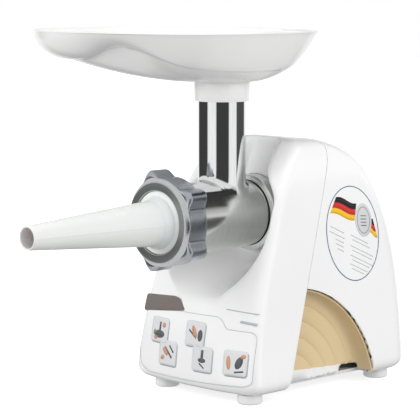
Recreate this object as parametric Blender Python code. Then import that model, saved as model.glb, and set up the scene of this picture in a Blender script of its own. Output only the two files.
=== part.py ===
"""Electric meat grinder with its mincing head, sausage filling tube and tray.

Lengths are in metres and +Z is up. The head points along -Y. Every piece is placed from the two
main axes: the head axis, which runs along Y, and the feed tube axis, which runs along Z and crosses
it. The empty "machine" then moves the whole so that the origin is on the table, below the middle.
"""

import math

import bmesh
import bpy
from mathutils import Matrix, Vector

mm = 0.001

# Clearances
touch_gap = 0.3 * mm
turn_gap = 0.4 * mm

# Housing
base_height = 9.0 * mm
housing_top = 231.0 * mm
base_half_width = 77.0 * mm
side_taper = 0.085
ridge_y = 60.0 * mm
front_reach = 104.0 * mm
front_start = 20.0 * mm
front_power = 1.6
rear_reach = 120.0 * mm
rear_start = 40.0 * mm
rear_power = 2.5
shoulder_start = 150.0 * mm
shoulder_power = 6.0
front_corner = 17.0 * mm
rear_corner = 24.0 * mm
base_fillet = 12.0 * mm
wall = 3.0 * mm
seam_foot_y = 6.6 * mm
seam_lean = 0.337
shell_gap = 0.4 * mm

# Side arches and their ribbed panels
arch_centre_y = 22.0 * mm
arch_centre_z = -5.0 * mm
arch_radius = 105.0 * mm
panel_inset = 21.0 * mm
panel_plane = base_half_width - panel_inset
panel_sheet = 2.0 * mm
panel_rim = 2.5 * mm
panel_depth = 11.5 * mm
panel_step = 2.0 * mm
panel_ridges = (93 * mm, 78 * mm, 62 * mm, 47 * mm)
panel_front_y = 8.0 * mm

# Base and feet
base_sheet = 3.0 * mm
base_edge_inset = 18.0 * mm
base_waist_inset = 24.0 * mm
base_edge = base_half_width - base_edge_inset
base_waist = base_half_width - base_waist_inset
base_front_corner = 12.0 * mm
base_rear_corner = 17.0 * mm
foot_radius = 11.5 * mm
foot_inset = 23.0 * mm
foot_spread = base_half_width - foot_inset
front_foot_y = -18.0 * mm
rear_foot_y = 152.0 * mm
screw_radius = 1.9 * mm
screw_head_radius = 4.2 * mm
screw_head_height = 2.4 * mm
screw_recess = 2.0 * mm

# Head
head_axis = 162.5 * mm
head_recess_front = 60.0 * mm
head_recess_slope = 0.268
head_recess_back_y = 44.0 * mm
head_recess_fillet = 9.0 * mm
tube_groove_radius = 29.0 * mm
barrel_front_radius = 34.0 * mm
barrel_rear_radius = 30.0 * mm
barrel_bore = 26.3 * mm
barrel_front_y = -72.4 * mm
thread_radius = 34.9 * mm
thread_end_y = -57.0 * mm
shoulder_y = 31.0 * mm
spigot_radius = 27.0 * mm
spigot_length = 21.0 * mm
bore_end_y = 22.0 * mm
journal_radius = 9.0 * mm
feed_radius = 21.7 * mm
feed_wall = 2.2 * mm
feed_top = 283.0 * mm

# Auger, knife and plate
auger_clearance = 0.7 * mm
auger_core_front = 9.0 * mm
auger_core_rear = 15.0 * mm
auger_pitch = 26.0 * mm
auger_front_y = -59.5 * mm
square_half = 5.0 * mm
pin_radius = 4.0 * mm
shank_radius = 6.5 * mm
shank_end_y = 55.0 * mm
plate_radius = 31.0 * mm
plate_thickness = 5.0 * mm
plate_hole_radius = 4.0 * mm
knife_thickness = 7.0 * mm
knife_reach = 25.5 * mm

# Ring nut
nut_front_y = -80.5 * mm
nut_depth = 24.5 * mm
nut_radius = 39.5 * mm
nut_lip = 3.2 * mm
nut_lobes = 5
lobe_reach = 7.5 * mm
lobe_width = 0.36
thread_gap = 0.4 * mm

# Sausage tube
flange_radius = 34.3 * mm
flange_thickness = 3.0 * mm
tube_end_y = -226.0 * mm
tube_base_radius = 20.5 * mm
tube_end_radius = 10.4 * mm
tube_wall = 1.7 * mm
tube_fillet = 5.0 * mm
mouth_clearance = 3.0 * mm
nut_mouth = tube_base_radius + tube_fillet + mouth_clearance

# Tray
tray_centre_x = -63.7 * mm
tray_half_length = 134.0 * mm
tray_half_width = 109.5 * mm
tray_power = 2.6
tray_rim = 329.0 * mm
tray_wall = 2.0 * mm
tray_wall_depth = 27.0 * mm
tray_wall_reach = 28.0 * mm
tray_waist_x = -27.0 * mm
tray_waist_spread = 55.0 * mm
tray_waist_rise = 16.0 * mm
tray_end_drop = 8.0 * mm
collar_bottom = 266.7 * mm
collar_top = 284.0 * mm
collar_wall = 3.1 * mm

# Head socket and latch
socket_outer = 35.0 * mm
socket_front_y = 33.0 * mm
socket_rear_y = 56.0 * mm
seal_outer = 33.5 * mm
latch_y = 48.5 * mm
latch_sheet = 3.0 * mm
latch_travel = 4.0 * mm
latch_half = 44.0 * mm
button_radius = 6.5 * mm
button_length = 9.0 * mm
button_proud = 2.5 * mm
stem_radius = 2.6 * mm

# Gearbox: plates, three reductions and their shafts
front_plate_y = 58.3 * mm
plate_sheet = 4.0 * mm
rear_plate_y = 103.0 * mm
plate_half_width = 49.0 * mm
plate_bottom = 44.0 * mm
plate_top = 204.0 * mm
final_module = 1.5 * mm
final_teeth = (13, 50)
final_y = 64.5 * mm
final_width = 12.0 * mm
middle_module = 1.25 * mm
middle_teeth = (12, 46)
middle_y = 79.5 * mm
middle_width = 9.0 * mm
first_module = 1.0 * mm
first_teeth = (10, 48)
first_y = 91.0 * mm
first_width = 8.0 * mm
final_lean = math.radians(-25.0)
middle_lean = math.radians(50.6)
first_lean = math.radians(-16.0)
gear_backlash = 0.16
layshaft_radius = 4.0 * mm
spindle_radius = 8.0 * mm
cup_radius = 11.0 * mm
cup_y = 39.0 * mm
bush_outer = 13.7 * mm

# Motor
motor_shaft_radius = 4.0 * mm
bearing_outer = 11.0 * mm
bearing_width = 7.0 * mm
stator_radius = 38.0 * mm
pole_bore = 21.0 * mm
slot_bore = 31.0 * mm
stator_y = 126.0 * mm
stator_length = 24.0 * mm
armature_radius = 20.4 * mm
armature_slots = 12
winding_radius = 17.5 * mm
commutator_radius = 12.0 * mm
commutator_y = 157.8 * mm
commutator_length = 8.2 * mm
fan_radius = 30.0 * mm
fan_y = 112.0 * mm
fan_width = 6.0 * mm
fan_blades = 10
coil_inner = 23.0 * mm
coil_outer = 30.5 * mm
coil_overhang = 6.5 * mm
bracket_sheet = 3.5 * mm
motor_rear_y = 168.0 * mm
motor_shaft_end_y = 174.5 * mm
brush_width = 6.4 * mm
brush_height = 8.4 * mm
brush_length = 16.0 * mm
holder_wall = 1.4 * mm
holder_start = 18.0 * mm
holder_length = 20.0 * mm

# Controls on the left side, and the cord inlet at the back
control_y = 122.0 * mm
control_z = 140.0 * mm
bezel_width = 36.0 * mm
bezel_height = 74.0 * mm
bezel_depth = 7.0 * mm
bezel_proud = 1.5 * mm
rocker_width = 20.0 * mm
rocker_height = 28.0 * mm
rocker_offset = 14.0 * mm
rocker_tilt = math.radians(7.0)
reverse_radius = 9.0 * mm
reverse_offset = -20.0 * mm
switch_depth = 14.0 * mm
inlet_x = -40.0 * mm
inlet_z = 40.0 * mm
inlet_radius = 9.0 * mm
cord_hole = 3.8 * mm

along_y = (math.radians(-90), 0, 0)
along_x = (0, math.radians(90), 0)

finishes = {
    "white_plastic": ((0.86, 0.87, 0.86), 0.28, 0.0),
    "tray_plastic": ((0.88, 0.88, 0.87), 0.30, 0.0),
    "beige_plastic": ((0.72, 0.58, 0.36), 0.45, 0.0),
    "grey_plastic": ((0.45, 0.46, 0.47), 0.50, 0.0),
    "dark_plastic": ((0.06, 0.06, 0.07), 0.45, 0.0),
    "foot_rubber": ((0.55, 0.56, 0.57), 0.80, 0.0),
    "seal_rubber": ((0.05, 0.05, 0.05), 0.70, 0.0),
    "chrome": ((0.80, 0.81, 0.82), 0.06, 1.0),
    "nut_metal": ((0.55, 0.57, 0.58), 0.14, 1.0),
    "steel": ((0.60, 0.61, 0.62), 0.25, 1.0),
    "aluminium": ((0.74, 0.75, 0.76), 0.35, 1.0),
    "copper": ((0.72, 0.38, 0.22), 0.30, 1.0),
    "bronze": ((0.60, 0.45, 0.25), 0.35, 1.0),
    "gear_plastic": ((0.80, 0.76, 0.62), 0.45, 0.0),
    "carbon": ((0.04, 0.04, 0.05), 0.60, 0.0),
}


# Tools shared by the pieces


def clear_scene():
    for thing in list(bpy.data.objects):
        bpy.data.objects.remove(thing, do_unlink=True)


def finish(name):
    material = bpy.data.materials.get(name)
    if material:
        return material
    colour, roughness, metallic = finishes[name]
    material = bpy.data.materials.new(name)
    material.use_nodes = True
    shader = material.node_tree.nodes["Principled BSDF"]
    shader.inputs["Base Color"].default_value = (*colour, 1)
    shader.inputs["Roughness"].default_value = roughness
    shader.inputs["Metallic"].default_value = metallic
    return material


def place(name, mesh, slot, at=(0, 0, 0), turned=(0, 0, 0), parent=None):
    """A named object from a bmesh, with its finish, at a place under its parent."""
    bmesh.ops.recalc_face_normals(mesh, faces=mesh.faces)
    data = bpy.data.meshes.new(name)
    mesh.to_mesh(data)
    mesh.free()
    data.shade_smooth()
    data.set_sharp_from_angle(angle=math.radians(35))
    data.materials.append(finish(slot))
    thing = bpy.data.objects.new(name, data)
    thing.location = at
    thing.rotation_euler = turned
    thing.parent = parent
    bpy.context.scene.collection.objects.link(thing)
    return thing


def empty(name, at=(0, 0, 0), turned=(0, 0, 0), parent=None):
    thing = bpy.data.objects.new(name, None)
    thing.location = at
    thing.rotation_euler = turned
    thing.parent = parent
    thing.empty_display_size = 0.01
    bpy.context.scene.collection.objects.link(thing)
    return thing


def helper(thing):
    thing.hide_render = True
    thing.display_type = "WIRE"
    return thing


def combine(thing, other, operation="DIFFERENCE"):
    step = thing.modifiers.new(operation.lower(), "BOOLEAN")
    step.operation = operation
    step.solver = "EXACT"
    step.object = helper(other)
    return thing


def lathe(profile, steps=36, start=0.0):
    """Turns a closed outline of (radius, height) points about local Z, from a start angle."""
    mesh = bmesh.new()
    across = Vector((math.cos(start), math.sin(start), 0))
    points = [mesh.verts.new(across * radius + Vector((0, 0, height))) for radius, height in profile]
    edges = [mesh.edges.new((points[i], points[i - 1])) for i in range(len(points))]
    edges = [edge for edge in edges if max(v.co.xy.length for v in edge.verts) > 1e-9]
    bmesh.ops.spin(
        mesh, geom=edges, cent=(0, 0, 0), axis=(0, 0, 1), angle=math.tau, steps=steps, use_merge=False
    )
    bmesh.ops.remove_doubles(mesh, verts=mesh.verts, dist=1e-6)
    loose = [vert for vert in mesh.verts if not vert.link_faces]
    bmesh.ops.delete(mesh, geom=loose, context="VERTS")
    return mesh


def rod(radius, start, end, steps=24):
    return lathe([(0, start), (radius, start), (radius, end), (0, end)], steps)


def ring(inner, outer, start, end, steps=24):
    return lathe([(inner, start), (outer, start), (outer, end), (inner, end)], steps)


def block(low, high):
    mesh = bmesh.new()
    bmesh.ops.create_cube(mesh, size=1)
    size = [b - a for a, b in zip(low, high)]
    middle = [(a + b) / 2 for a, b in zip(low, high)]
    bmesh.ops.scale(mesh, vec=size, verts=mesh.verts)
    bmesh.ops.translate(mesh, vec=middle, verts=mesh.verts)
    return mesh


def prism(outline, start, end):
    """Extrudes a flat outline of (x, y) points from one height to another."""
    mesh = bmesh.new()
    face = mesh.faces.new([mesh.verts.new((x, y, start)) for x, y in outline])
    grown = bmesh.ops.extrude_face_region(mesh, geom=[face])
    moved = [item for item in grown["geom"] if isinstance(item, bmesh.types.BMVert)]
    bmesh.ops.translate(mesh, vec=(0, 0, end - start), verts=moved)
    return mesh


def loft(rings, closed_ends=True):
    """Joins equal rings of points into one skin, capped at both ends or joined end to end."""
    mesh = bmesh.new()
    rows = [[mesh.verts.new(point) for point in points] for points in rings]
    count = len(rows[0])
    last = len(rows) - 1 if closed_ends else len(rows)
    for row in range(last):
        lower, upper = rows[row], rows[(row + 1) % len(rows)]
        for i in range(count):
            j = (i + 1) % count
            mesh.faces.new((lower[i], lower[j], upper[j], upper[i]))
    if closed_ends:
        mesh.faces.new(rows[0])
        mesh.faces.new(rows[-1])
    return mesh


def hexagon(radius):
    turns = [math.radians(angle) for angle in range(0, 360, 60)]
    return [(radius * math.cos(turn), radius * math.sin(turn)) for turn in turns]


def quadrant(along, power):
    """Height of a rounded corner curve of unit reach, from 1 at its start to 0 at its end."""
    return max(0.0, 1.0 - min(1.0, max(0.0, along)) ** power) ** (1.0 / power)


# Housing outline


def half_width(z):
    straight = base_half_width - side_taper * (z - base_height)
    along = (z - shoulder_start) / (housing_top - shoulder_start)
    return straight * quadrant(along, shoulder_power)


def front_y(z):
    return ridge_y - front_reach * quadrant((z - front_start) / (housing_top - front_start), front_power)


def rear_y(z):
    return ridge_y + rear_reach * quadrant((z - rear_start) / (housing_top - rear_start), rear_power)


def housing_section(z, outline_z, inset):
    """One level of the housing, a rectangle with round corners, moved in by inset."""
    under = max(0.0, base_height + base_fillet - outline_z)
    lift = base_fillet - math.sqrt(max(0.0, base_fillet**2 - under**2))
    half = max(half_width(outline_z) - inset - lift, 1 * mm)
    low = front_y(outline_z) + inset + lift
    high = rear_y(outline_z) - inset - lift
    if high - low < 2 * mm:
        low, high = (low + high) / 2 - 1 * mm, (low + high) / 2 + 1 * mm
    corners = ((1, -1, -90), (1, 1, 0), (-1, 1, 90), (-1, -1, 180))
    points = []
    for sign_x, sign_y, start in corners:
        radius = (rear_corner if sign_y > 0 else front_corner) - inset / 2 - lift / 2
        radius = min(radius, 0.95 * half, 0.45 * (high - low))
        middle_x = sign_x * (half - radius)
        middle_y = (high - radius) if sign_y > 0 else (low + radius)
        for step in range(5):
            turn = math.radians(start + 22.5 * step)
            points.append((middle_x + radius * math.cos(turn), middle_y + radius * math.sin(turn), z))
    return points


def housing_solid(inset, bottom):
    """The housing's outer form, or its inner one when it is inset, as a loft of level sections."""
    top = housing_top - inset
    fillet_levels = [base_height + base_fillet * (1 - math.cos(math.radians(a))) for a in (0, 30, 60, 90)]
    side_levels = [45 * mm, 70 * mm, 95 * mm, 120 * mm]
    crown = [shoulder_start + (top - shoulder_start) * math.sin(math.radians(a)) for a in range(0, 90, 14)]
    levels = fillet_levels + side_levels + crown + [top - 0.05 * mm]
    rings = [housing_section(bottom, levels[0], inset)] if bottom < levels[0] - 1e-6 else []
    stretch = (housing_top - shoulder_start) / (top - shoulder_start)
    for z in levels:
        outline_z = z if z < shoulder_start else shoulder_start + (z - shoulder_start) * stretch
        rings.append(housing_section(z, outline_z, inset))
    return loft(rings)


def head_recess(margin, machine, name):
    """Cutter for the bowl round the head, the groove behind the feed tube and the socket's hole."""
    back = head_recess_back_y + margin
    fillet = head_recess_fillet

    def cone(y):
        return head_recess_front - head_recess_slope * (y - 15 * mm) + margin

    outline = [(0, -100 * mm), (cone(-100 * mm), -100 * mm)]
    start_y = back - fillet
    outline += [(cone(y), y) for y in (-30 * mm, 0, start_y)]
    for angle in (30, 60, 90):
        turn = math.radians(angle)
        outline.append((cone(start_y) - fillet * (1 - math.cos(turn)), start_y + fillet * math.sin(turn)))
    if margin == 0:
        outline += [(socket_outer + turn_gap, back), (socket_outer + turn_gap, back + 2 * wall)]
        back += 2 * wall
    outline.append((0, back))
    # The inner forms are turned by half a step, so that their edges do not lie over the outer ones.
    start = math.radians(4.5) if margin else 0.0
    bowl = lathe(outline, 40, start)
    bowl = place(name, bowl, "white_plastic", (0, 0, head_axis), along_y, machine)
    groove = rod(tube_groove_radius + margin, head_axis, housing_top + 40 * mm, 24)
    groove = place(name + "_groove", groove, "white_plastic", parent=machine)
    combine(bowl, groove, "UNION")
    return bowl


def seam_block(side, machine):
    """A block that takes away everything on one side of the leaning seam between the two shells."""
    lean = math.atan(seam_lean)
    reach = 400 * mm
    low = 0 if side > 0 else -reach
    mesh = block((-reach, low, -reach), (reach, low + reach, reach))
    at = (0, seam_foot_y + side * shell_gap / 2 * -1, 0)
    name = "seam_cutter_front" if side > 0 else "seam_cutter_rear"
    return place(name, mesh, "white_plastic", at, (-lean, 0, 0), machine)


def make_housing(machine):
    """Two thin shells that meet at the seam; the bowl round the head belongs to the front one."""
    recess = head_recess(0, machine, "recess_cutter")
    bowl = head_recess(wall, machine, "recess_wall_cutter")
    clear_bowl = head_recess(wall + shell_gap, machine, "recess_clearance_cutter")
    inner_bottom = base_height - 5 * mm
    cavity = place("cavity_cutter", housing_solid(wall, inner_bottom), "white_plastic", parent=machine)
    behind_seam = combine(seam_block(1, machine), bowl)
    front_cavity = place(
        "front_cavity_cutter", housing_solid(wall, inner_bottom), "white_plastic", parent=machine
    )
    combine(front_cavity, bowl)
    front = place("front_shell", housing_solid(0, base_height), "white_plastic", parent=machine)
    for cutter in (front_cavity, behind_seam, recess):
        combine(front, cutter)
    rear = place("rear_shell", housing_solid(0, base_height), "white_plastic", parent=machine)
    arch = rod(arch_radius, -100 * mm, 100 * mm, 96)
    arch = place("arch_cutter", arch, "white_plastic", (0, arch_centre_y, arch_centre_z), along_x, machine)
    for cutter in (cavity, clear_bowl, arch, seam_block(-1, machine)):
        combine(rear, cutter)
    return front, rear


def make_arch_panel(side, machine):
    """A ribbed panel that closes the arch, with a rim that follows the arch out to the shell."""
    name = "arch_panel_right" if side > 0 else "arch_panel_left"
    outer = arch_radius - touch_gap
    heights = [panel_plane + panel_step * i for i in range(len(panel_ridges) + 1)]
    outline = [(0, heights[-1])]
    for i in reversed(range(len(panel_ridges))):
        outline += [(panel_ridges[i], heights[i + 1]), (panel_ridges[i], heights[i])]
    outline += [(outer - panel_rim, heights[0]), (outer - panel_rim, heights[0] + panel_depth)]
    outline += [(outer, heights[0] + panel_depth), (outer, heights[0] - panel_sheet)]
    for i in range(len(panel_ridges)):
        radius = panel_ridges[i] - panel_sheet
        outline += [(radius, heights[i] - panel_sheet), (radius, heights[i + 1] - panel_sheet)]
    outline.append((0, heights[-1] - panel_sheet))
    turned = (0, math.radians(90 * side), 0)
    at = (0, arch_centre_y, arch_centre_z)
    panel = place(name, lathe(outline, 44), "beige_plastic", at, turned, machine)
    floor = base_height + base_sheet + touch_gap
    reach = 300 * mm
    under = place(name + "_floor_cutter", block((-reach, -reach, -reach), (reach, reach, floor)), "steel")
    ahead = place(
        name + "_front_cutter", block((-reach, -reach, -reach), (reach, panel_front_y, reach)), "steel"
    )
    edge = half_width(arch_centre_z + arch_radius) - wall - 1 * mm
    low, high = (edge, reach) if side > 0 else (-reach, -edge)
    beyond = place(
        name + "_seam_cutter",
        block((low, -reach, -reach), (high, touch_gap, reach)),
        "steel",
        (0, seam_foot_y, 0),
        (-math.atan(seam_lean), 0, 0),
    )
    for cutter in (under, ahead, beyond):
        cutter.parent = machine
        combine(panel, cutter)
    return panel


# Base and feet


def foot_places():
    return {
        "front_left": (-foot_spread, front_foot_y),
        "front_right": (foot_spread, front_foot_y),
        "rear_left": (-foot_spread, rear_foot_y),
        "rear_right": (foot_spread, rear_foot_y),
    }


def make_base(machine):
    inner_front = front_y(base_height) + base_fillet + wall + touch_gap
    inner_rear = rear_y(base_height) - base_fillet - wall - touch_gap
    narrow_start = panel_front_y - 2 * mm
    narrow_end = arch_centre_y + arch_radius + 2 * mm
    half = [
        (base_edge - base_front_corner, inner_front),
        (base_edge, inner_front + base_front_corner),
        (base_edge, narrow_start),
        (base_waist, narrow_start),
        (base_waist, narrow_end),
        (base_edge, narrow_end),
        (base_edge, inner_rear - base_rear_corner),
        (base_edge - base_rear_corner, inner_rear),
    ]
    outline = half + [(-x, y) for x, y in reversed(half)]
    sheet = prism(outline, base_height, base_height + base_sheet)
    plate = place("base_plate", sheet, "grey_plastic", parent=machine)
    for corner, (x, y) in foot_places().items():
        hole = rod(screw_radius + touch_gap, base_height - 5 * mm, base_height + 10 * mm, 12)
        combine(plate, place("base_hole_" + corner, hole, "steel", (x, y, 0), parent=machine))
    return plate


def make_feet(machine):
    top = base_height - touch_gap
    bore = screw_radius + touch_gap
    sink = screw_head_radius + touch_gap
    floor = screw_recess + screw_head_height + touch_gap
    for corner, (x, y) in foot_places().items():
        outline = [
            (sink, 0),
            (foot_radius - 1.5 * mm, 0),
            (foot_radius, 1.5 * mm),
            (foot_radius - 0.8 * mm, top),
            (bore, top),
            (bore, floor),
            (sink, floor),
        ]
        place("foot_" + corner, lathe(outline, 20), "foot_rubber", (x, y, 0), parent=machine)
        tip = base_height + base_sheet + 5 * mm
        outline = [
            (0, screw_recess),
            (screw_head_radius, screw_recess),
            (screw_head_radius, screw_recess + screw_head_height),
            (screw_radius, screw_recess + screw_head_height),
            (screw_radius, tip - 1.5 * mm),
            (0, tip),
        ]
        place("foot_screw_" + corner, lathe(outline, 12), "steel", (x, y, 0), parent=machine)


# Head


def make_chamber(head):
    """Barrel and feed tube in one casting, with a thread in front and a spigot behind."""
    outline = [
        (0, barrel_front_y),
        (thread_radius - 1 * mm, barrel_front_y),
        (thread_radius, barrel_front_y + 1 * mm),
        (thread_radius, thread_end_y),
        (barrel_front_radius, thread_end_y + 2 * mm),
        (barrel_rear_radius, shoulder_y),
        (spigot_radius, shoulder_y),
        (spigot_radius, shoulder_y + spigot_length),
        (0, shoulder_y + spigot_length),
    ]
    barrel = place("grinder_chamber", lathe(outline, 40), "chrome", (0, 0, 0), along_y, head)
    rise = feed_top - head_axis
    feed = place("feed_tube_form", rod(feed_radius, 5 * mm, rise, 32), "chrome", parent=head)
    combine(barrel, feed, "UNION")
    seat = plate_radius + touch_gap
    outline = [
        (0, barrel_front_y - 5 * mm),
        (seat, barrel_front_y - 5 * mm),
        (seat, barrel_front_y + plate_thickness - 0.7 * mm),
        (barrel_bore, barrel_front_y + plate_thickness - 0.7 * mm),
        (barrel_bore, bore_end_y),
        (journal_radius + turn_gap, bore_end_y),
        (journal_radius + turn_gap, cup_y - 2 * mm),
        (cup_radius + 1 * mm, cup_y - 2 * mm),
        (cup_radius + 1 * mm, shoulder_y + spigot_length + 5 * mm),
        (0, shoulder_y + spigot_length + 5 * mm),
    ]
    combine(barrel, place("barrel_bore_cutter", lathe(outline, 32), "chrome", (0, 0, 0), along_y, head))
    throat = rod(feed_radius - feed_wall, 0, rise + 10 * mm, 28)
    combine(barrel, place("throat_cutter", throat, "chrome", parent=head))
    return barrel


def auger_radius(turn, y):
    """Radius of the screw at an angle and a place along it: a round core with one helical flight."""
    along = (y - auger_front_y) / (bore_end_y - auger_front_y)
    core = auger_core_front + (auger_core_rear - auger_core_front) * along
    phase = (turn / math.tau - y / auger_pitch) % 1.0
    away = min(phase, 1 - phase) * auger_pitch
    crest = 2.0 * mm
    root = 5.0 * mm
    lift = min(1.0, max(0.0, (root - away) / (root - crest)))
    return core + (barrel_bore - auger_clearance - core) * lift


def make_auger(spinning):
    """Feed screw with a square stud for the knife and a round pin that runs in the plate."""
    around = 20
    stud_start = barrel_front_y + plate_thickness - 0.3 * mm
    pin_start = barrel_front_y - 4 * mm
    rings = []

    def add(y, radius_at):
        turns = [math.tau * i / around for i in range(around)]
        rings.append([(radius_at(t) * math.cos(t), radius_at(t) * math.sin(t), y) for t in turns])

    def square(turn):
        return min(square_half / max(abs(math.cos(turn)), abs(math.sin(turn))), square_half * 1.25)

    add(pin_start, lambda t: pin_radius - 1 * mm)
    add(pin_start + 1 * mm, lambda t: pin_radius)
    add(stud_start, lambda t: pin_radius)
    add(stud_start + 0.05 * mm, square)
    add(auger_front_y - 0.05 * mm, square)
    length = bore_end_y - 1 * mm - auger_front_y
    count = 25
    for i in range(count + 1):
        y = auger_front_y + length * i / count
        add(y, lambda t, y=y: auger_radius(t, y))
    add(bore_end_y - 0.95 * mm, lambda t: journal_radius)
    add(shoulder_y, lambda t: journal_radius)
    place("auger", loft(rings), "aluminium", (0, 0, 0), along_y, spinning)
    shank = prism(hexagon(shank_radius), shoulder_y + touch_gap, shank_end_y)
    place("auger_drive_shank", shank, "steel", (0, 0, 0), along_y, spinning)


def make_knife(spinning):
    """Four-armed cross knife with a square hole."""
    outline = []
    for arm in range(4):
        turn = math.radians(90 * arm)
        for radius, angle in ((knife_reach, -16), (knife_reach, 9), (11 * mm, 33)):
            spot = turn + math.radians(angle)
            outline.append((radius * math.cos(spot), radius * math.sin(spot)))
    start = barrel_front_y + plate_thickness + 0.2 * mm
    blade = prism(outline, start, start + knife_thickness)
    knife = place("knife_blade", blade, "steel", (0, 0, 0), along_y, spinning)
    half = square_half * 1.02 + touch_gap
    hole = block((-half, -half, start - 5 * mm), (half, half, start + 20 * mm))
    combine(knife, place("knife_hole_cutter", hole, "steel", (0, 0, 0), along_y, spinning))
    return knife


def make_plate(head):
    start = barrel_front_y - 0.9 * mm
    disc = rod(plate_radius, start, start + plate_thickness, 30)
    plate = place("mincing_plate", disc, "steel", (0, 0, 0), along_y, head)
    holes = bmesh.new()
    spots = [(0, 0, pin_radius + 2 * touch_gap)]
    for count, circle in ((6, 12.5 * mm), (11, 23 * mm)):
        for i in range(count):
            turn = math.tau * i / count
            spots.append((circle * math.cos(turn), circle * math.sin(turn), plate_hole_radius))
    for x, y, radius in spots:
        at = Matrix.Translation((x, y, start))
        bmesh.ops.create_cone(
            holes, cap_ends=True, segments=8, radius1=radius, radius2=radius, depth=30 * mm, matrix=at
        )
    combine(plate, place("plate_hole_cutter", holes, "steel", (0, 0, 0), along_y, head))
    return plate


def nut_outline(turn, grow):
    """Outer radius of the ring nut: a circle with round lobes."""
    share = (turn / math.tau * nut_lobes) % 1.0
    away = min(share, 1 - share) * math.tau / nut_lobes
    lift = 0.5 + 0.5 * math.cos(math.pi * min(1.0, away / lobe_width))
    return nut_radius + grow + lobe_reach * lift


def make_nut(nut):
    around = 60
    turns = [math.tau * i / around + math.pi for i in range(around)]

    def outer(y, shrink, lobes):
        row = []
        for t in turns:
            radius = nut_outline(t - math.pi, -shrink)
            if not lobes:
                radius = nut_radius - shrink
            row.append((radius * math.cos(t), radius * math.sin(t), y))
        return row

    def circle(y, radius):
        return [(radius * math.cos(t), radius * math.sin(t), y) for t in turns]

    rear = nut_front_y + nut_depth
    rings = [
        circle(nut_front_y, nut_mouth),
        outer(nut_front_y, 5 * mm, False),
        outer(nut_front_y + 1.2 * mm, 2 * mm, True),
        outer(nut_front_y + 4 * mm, 0, True),
        outer(rear - 1.5 * mm, 0, True),
        outer(rear, 1.5 * mm, True),
        circle(rear, thread_radius + thread_gap),
        circle(nut_front_y + nut_lip, thread_radius + thread_gap),
        circle(nut_front_y + nut_lip, nut_mouth),
    ]
    place("ring_nut", loft(rings, closed_ends=False), "nut_metal", (0, 0, 0), along_y, nut)


def make_sausage_tube(sliding):
    face = nut_front_y + nut_lip + touch_gap
    back = face + flange_thickness
    bead = nut_mouth - 0.5 * mm
    step = nut_lip - 0.5 * mm
    outline = [(flange_radius, back), (flange_radius, face), (bead, face), (bead - 1 * mm, face - step)]
    start_y = face - step
    for angle in (0, 45, 90):
        turn = math.radians(angle)
        radius = tube_base_radius + tube_fillet * (1 - math.sin(turn))
        outline.append((radius, start_y - tube_fillet * (1 - math.cos(turn)) - 0.3 * mm))
    outline += [
        (tube_end_radius, tube_end_y + 0.6 * mm),
        (tube_end_radius - 0.4 * mm, tube_end_y),
        (tube_end_radius - tube_wall + 0.3 * mm, tube_end_y),
        (tube_end_radius - tube_wall, tube_end_y + 0.6 * mm),
        (tube_base_radius - tube_wall, start_y - tube_fillet),
        (tube_base_radius + tube_fillet - tube_wall, start_y + 1.5 * mm),
        (plate_radius - 5 * mm, back),
    ]
    place("sausage_tube", lathe(outline, 32), "white_plastic", (0, 0, 0), along_y, sliding)


# Tray


def tray_point(turn, inset):
    """A point of the tray's outline, moved in from the rim; x is from the feed tube's axis."""
    power = 2.0 / tray_power
    x = math.copysign(abs(math.cos(turn)) ** power, math.cos(turn))
    y = math.copysign(abs(math.sin(turn)) ** power, math.sin(turn))
    return tray_centre_x + (tray_half_length - inset) * x, (tray_half_width - inset) * y


def tray_depth(x):
    """Height of the side wall: shallow at the waist, a little deeper toward the right end."""
    along = (x - tray_centre_x) / tray_half_length
    waist = math.exp(-(((x - tray_waist_x) / tray_waist_spread) ** 2))
    return tray_wall_depth - tray_waist_rise * waist + tray_end_drop * max(0.0, along)


def tray_wall_row(turn, lift, skin):
    """One level of the side wall; it is round at the left end and leans straight at the right end."""
    x = tray_point(turn, 0)[0]
    along = (x - tray_centre_x) / tray_half_length
    straight = 0.4 + 0.4 * along
    curve = (1 - straight) * (1 - math.cos(lift)) + straight * math.sin(lift)
    reach = tray_wall_reach * (1 - 0.22 * along)
    x, y = tray_point(turn, skin + reach * curve)
    return x, y, tray_rim - (tray_depth(x) - skin) * math.sin(lift)


def make_tray(lifting):
    around = 44
    turns = [math.tau * (i + 0.5) / around for i in range(around)]
    inner_collar = feed_radius + turn_gap
    outer_collar = inner_collar + collar_wall

    def collar(radius, z):
        return [(radius * math.cos(t), radius * math.sin(t), z) for t in turns]

    def floor_row(share, skin):
        """A ring of the sloping floor, part of the way from the foot of the wall to the collar."""
        row = []
        for turn in turns:
            x, y, z = tray_wall_row(turn, math.radians(90), skin)
            low_x, low_y = outer_collar * math.cos(turn), outer_collar * math.sin(turn)
            drop = 1 - (1 - share) ** 2
            height = z + (collar_top + skin - z) * drop
            row.append((x + (low_x - x) * share, y + (low_y - y) * share, height))
        return row

    def rows(skin):
        levels = [0, 25, 50, 72, 90]
        wall_rows = [[tray_wall_row(t, math.radians(lift), skin) for t in turns] for lift in levels]
        return wall_rows + [floor_row(0.35, skin), floor_row(0.7, skin)]

    outside = rows(0) + [collar(outer_collar, collar_top), collar(outer_collar, collar_bottom)]
    inside = rows(tray_wall) + [collar(inner_collar, collar_top + tray_wall)]
    inside.append(collar(inner_collar, collar_bottom))
    skin = outside + list(reversed(inside))
    lowered = [[(x, y, z - head_axis) for x, y, z in row] for row in skin]
    place("tray", loft(lowered, closed_ends=False), "tray_plastic", parent=lifting)


# Head socket and latch


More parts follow.
